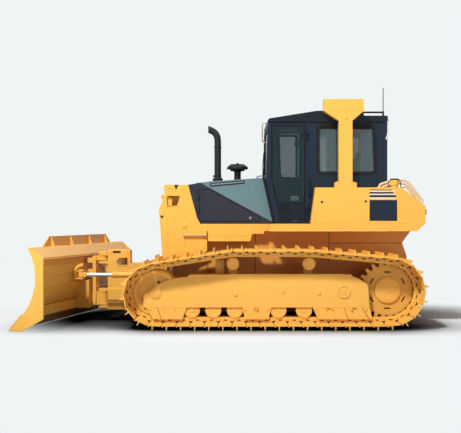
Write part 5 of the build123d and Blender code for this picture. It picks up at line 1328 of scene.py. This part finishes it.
# Inside the right of the cab: a cabinet low down and the duct up the front pillar
cabinetShape = {
    "cabinet": [(0.690, 1.440), (1.150, 1.440), (1.150, 2.130), (0.640, 2.160)], "cabinetY": (0.46, 0.70),
    "duct": [(0.600, 2.100), (0.790, 2.100), (0.770, 2.830), (0.600, 2.830)], "ductY": (0.690, 0.735),
}
cabinet = [plate(roundedOutline(cabinetShape["cabinet"], 0.03), "y", *cabinetShape["cabinetY"], 0.010)]
cabinet.append(plate(roundedOutline(cabinetShape["duct"], 0.02), "y", *cabinetShape["ductY"], 0.008))
makePiece("cabCabinet", cabinet, "plastic")
print("cabinet done")


# Floor, light and camera
floorLook = {
    "background": (0.870, 0.905, 0.915), "lit": (0.78, 0.83, 0.86), "half": 60, "grainScale": 2.0, "roughness": 0.9,
    "shelterReach": 1.1, "shelterPower": 3.2, "sky": (0.165, 0.138, 0.130),
    "middle": (-0.12, -0.08, 0.0), "spread": (0.20, 0.30, 0.0), "fadeFrom": 0.58, "fadeTo": 1.05,
}
lampRows = [
    # name, place, aims at, size, watts, colour
    ("key", (-4.9, -11.1, 13.9), (0, 0, 1.0), 2.0, 3550, (1.0, 0.98, 0.95)),
    ("fill", (5.0, -12.5, 3.0), (-1.6, 0, 0.7), 6.0, 190, (1.0, 0.84, 0.76)),
    ("back", (3.0, 10.0, 9.0), (0, 0, 1.5), 6.0, 300, (1.0, 1.0, 1.0)),
]
view = {"lens": 78.6, "sensor": 36.0, "shiftY": 2.5 / 461, "away": 15.0, "height": 1.5}


def seenDirectly(add):
    # 1 where the camera looks straight, through glass or by a reflection; 0 for light on its way to a surface.
    paths = add("ShaderNodeLightPath")
    seen = paths.outputs["Is Camera Ray"]
    for kind in ("Is Transmission Ray", "Is Glossy Ray"):
        seen = maths(add, "MAXIMUM", seen, paths.outputs[kind])
    return seen


def paleFloor():
    # Near the machine the floor is lit and keeps the shadow; further out it turns into the plain background.
    lit = floorLook["lit"]
    floorMaterial, add, shader, links = nodeMaker("paleFloor")
    place = add("ShaderNodeTexCoord").outputs["Object"]
    grain = noise(add, place, floorLook["grainScale"], 2.0)
    tone = mixColours(add, grain, rgb(lit), rgb([c * 1.02 for c in lit]))
    # Painted shade: where the machine closes off the sky the floor's colour darkens, tone times the open share to a
    # power.
    shelter = add("ShaderNodeAmbientOcclusion", {"Distance": floorLook["shelterReach"]})
    openShare = maths(add, "POWER", shelter.outputs["AO"], floorLook["shelterPower"])
    sheltered = add("ShaderNodeVectorMath", {0: tone, "Scale": openShare}, operation="SCALE")
    links.new(sheltered.outputs["Vector"], shader.inputs["Base Color"])
    shader.inputs["Roughness"].default_value = floorLook["roughness"]
    shader.inputs["Specular IOR Level"].default_value = 0.0
    centring = {"Vector": place, "Location": floorLook["middle"], "Scale": floorLook["spread"]}
    centred = add("ShaderNodeMapping", centring).outputs["Vector"]
    distance = add("ShaderNodeVectorMath", {0: centred}, operation="LENGTH").outputs["Value"]
    far = mapped(add, distance, floorLook["fadeFrom"], floorLook["fadeTo"], interpolation_type="SMOOTHSTEP")
    plain = add("ShaderNodeEmission", {"Color": rgb(floorLook["background"])})
    mix = add("ShaderNodeMixShader", {"Fac": maths(add, "MULTIPLY", seenDirectly(add), far)})
    links.new(shader.outputs["BSDF"], mix.inputs[1])
    links.new(plain.outputs["Emission"], mix.inputs[2])
    output = [node for node in floorMaterial.node_tree.nodes if node.type == "OUTPUT_MATERIAL"][0]
    links.new(mix.outputs["Shader"], output.inputs["Surface"])
    half = floorLook["half"]
    mesh = bpy.data.meshes.new("floor")
    mesh.from_pydata([(-half, -half, 0), (half, -half, 0), (half, half, 0), (-half, half, 0)], [], [(0, 1, 2, 3)])
    mesh.materials.append(floorMaterial)
    floor = bpy.data.objects.new("floor", mesh)
    bpy.context.scene.collection.objects.link(floor)


def skyAndLamps():
    # A dim warm sky that shows the pale background wherever it is seen, and three round lamps.
    world = bpy.data.worlds.new("studio")
    bpy.context.scene.world = world
    world.use_nodes = True
    add = nodeAdder(world.node_tree)
    tint = mixColours(add, seenDirectly(add), rgb(floorLook["sky"]), rgb(floorLook["background"]))
    world.node_tree.links.new(tint, world.node_tree.nodes["Background"].inputs["Color"])
    for name, place, aim, size, watts, colour in lampRows:
        lamp = bpy.data.lights.new(name, "AREA")
        lamp.shape = "DISK"
        lamp.size = size
        lamp.energy = watts
        lamp.color = colour
        holder = bpy.data.objects.new(name, lamp)
        bpy.context.scene.collection.objects.link(holder)
        holder.location = place
        away = np.array(place) - np.array(aim)
        flat = math.hypot(away[0], away[1])
        holder.rotation_euler = (math.atan2(flat, away[2]), 0, math.atan2(away[0], -away[1]))


def camera():
    # Level, square to the machine's left side.
    lens = bpy.data.cameras.new("camera")
    lens.lens = view["lens"]
    lens.sensor_width = view["sensor"]
    lens.shift_y = view["shiftY"]
    holder = bpy.data.objects.new("camera", lens)
    bpy.context.scene.collection.objects.link(holder)
    holder.location = (shift[0], shift[1] - view["away"], view["height"])
    holder.rotation_euler = (math.pi / 2, 0, 0)
    bpy.context.scene.camera = holder


paleFloor()
skyAndLamps()
camera()
bpy.context.scene.view_settings.view_transform = "Standard"
print("scene ready")
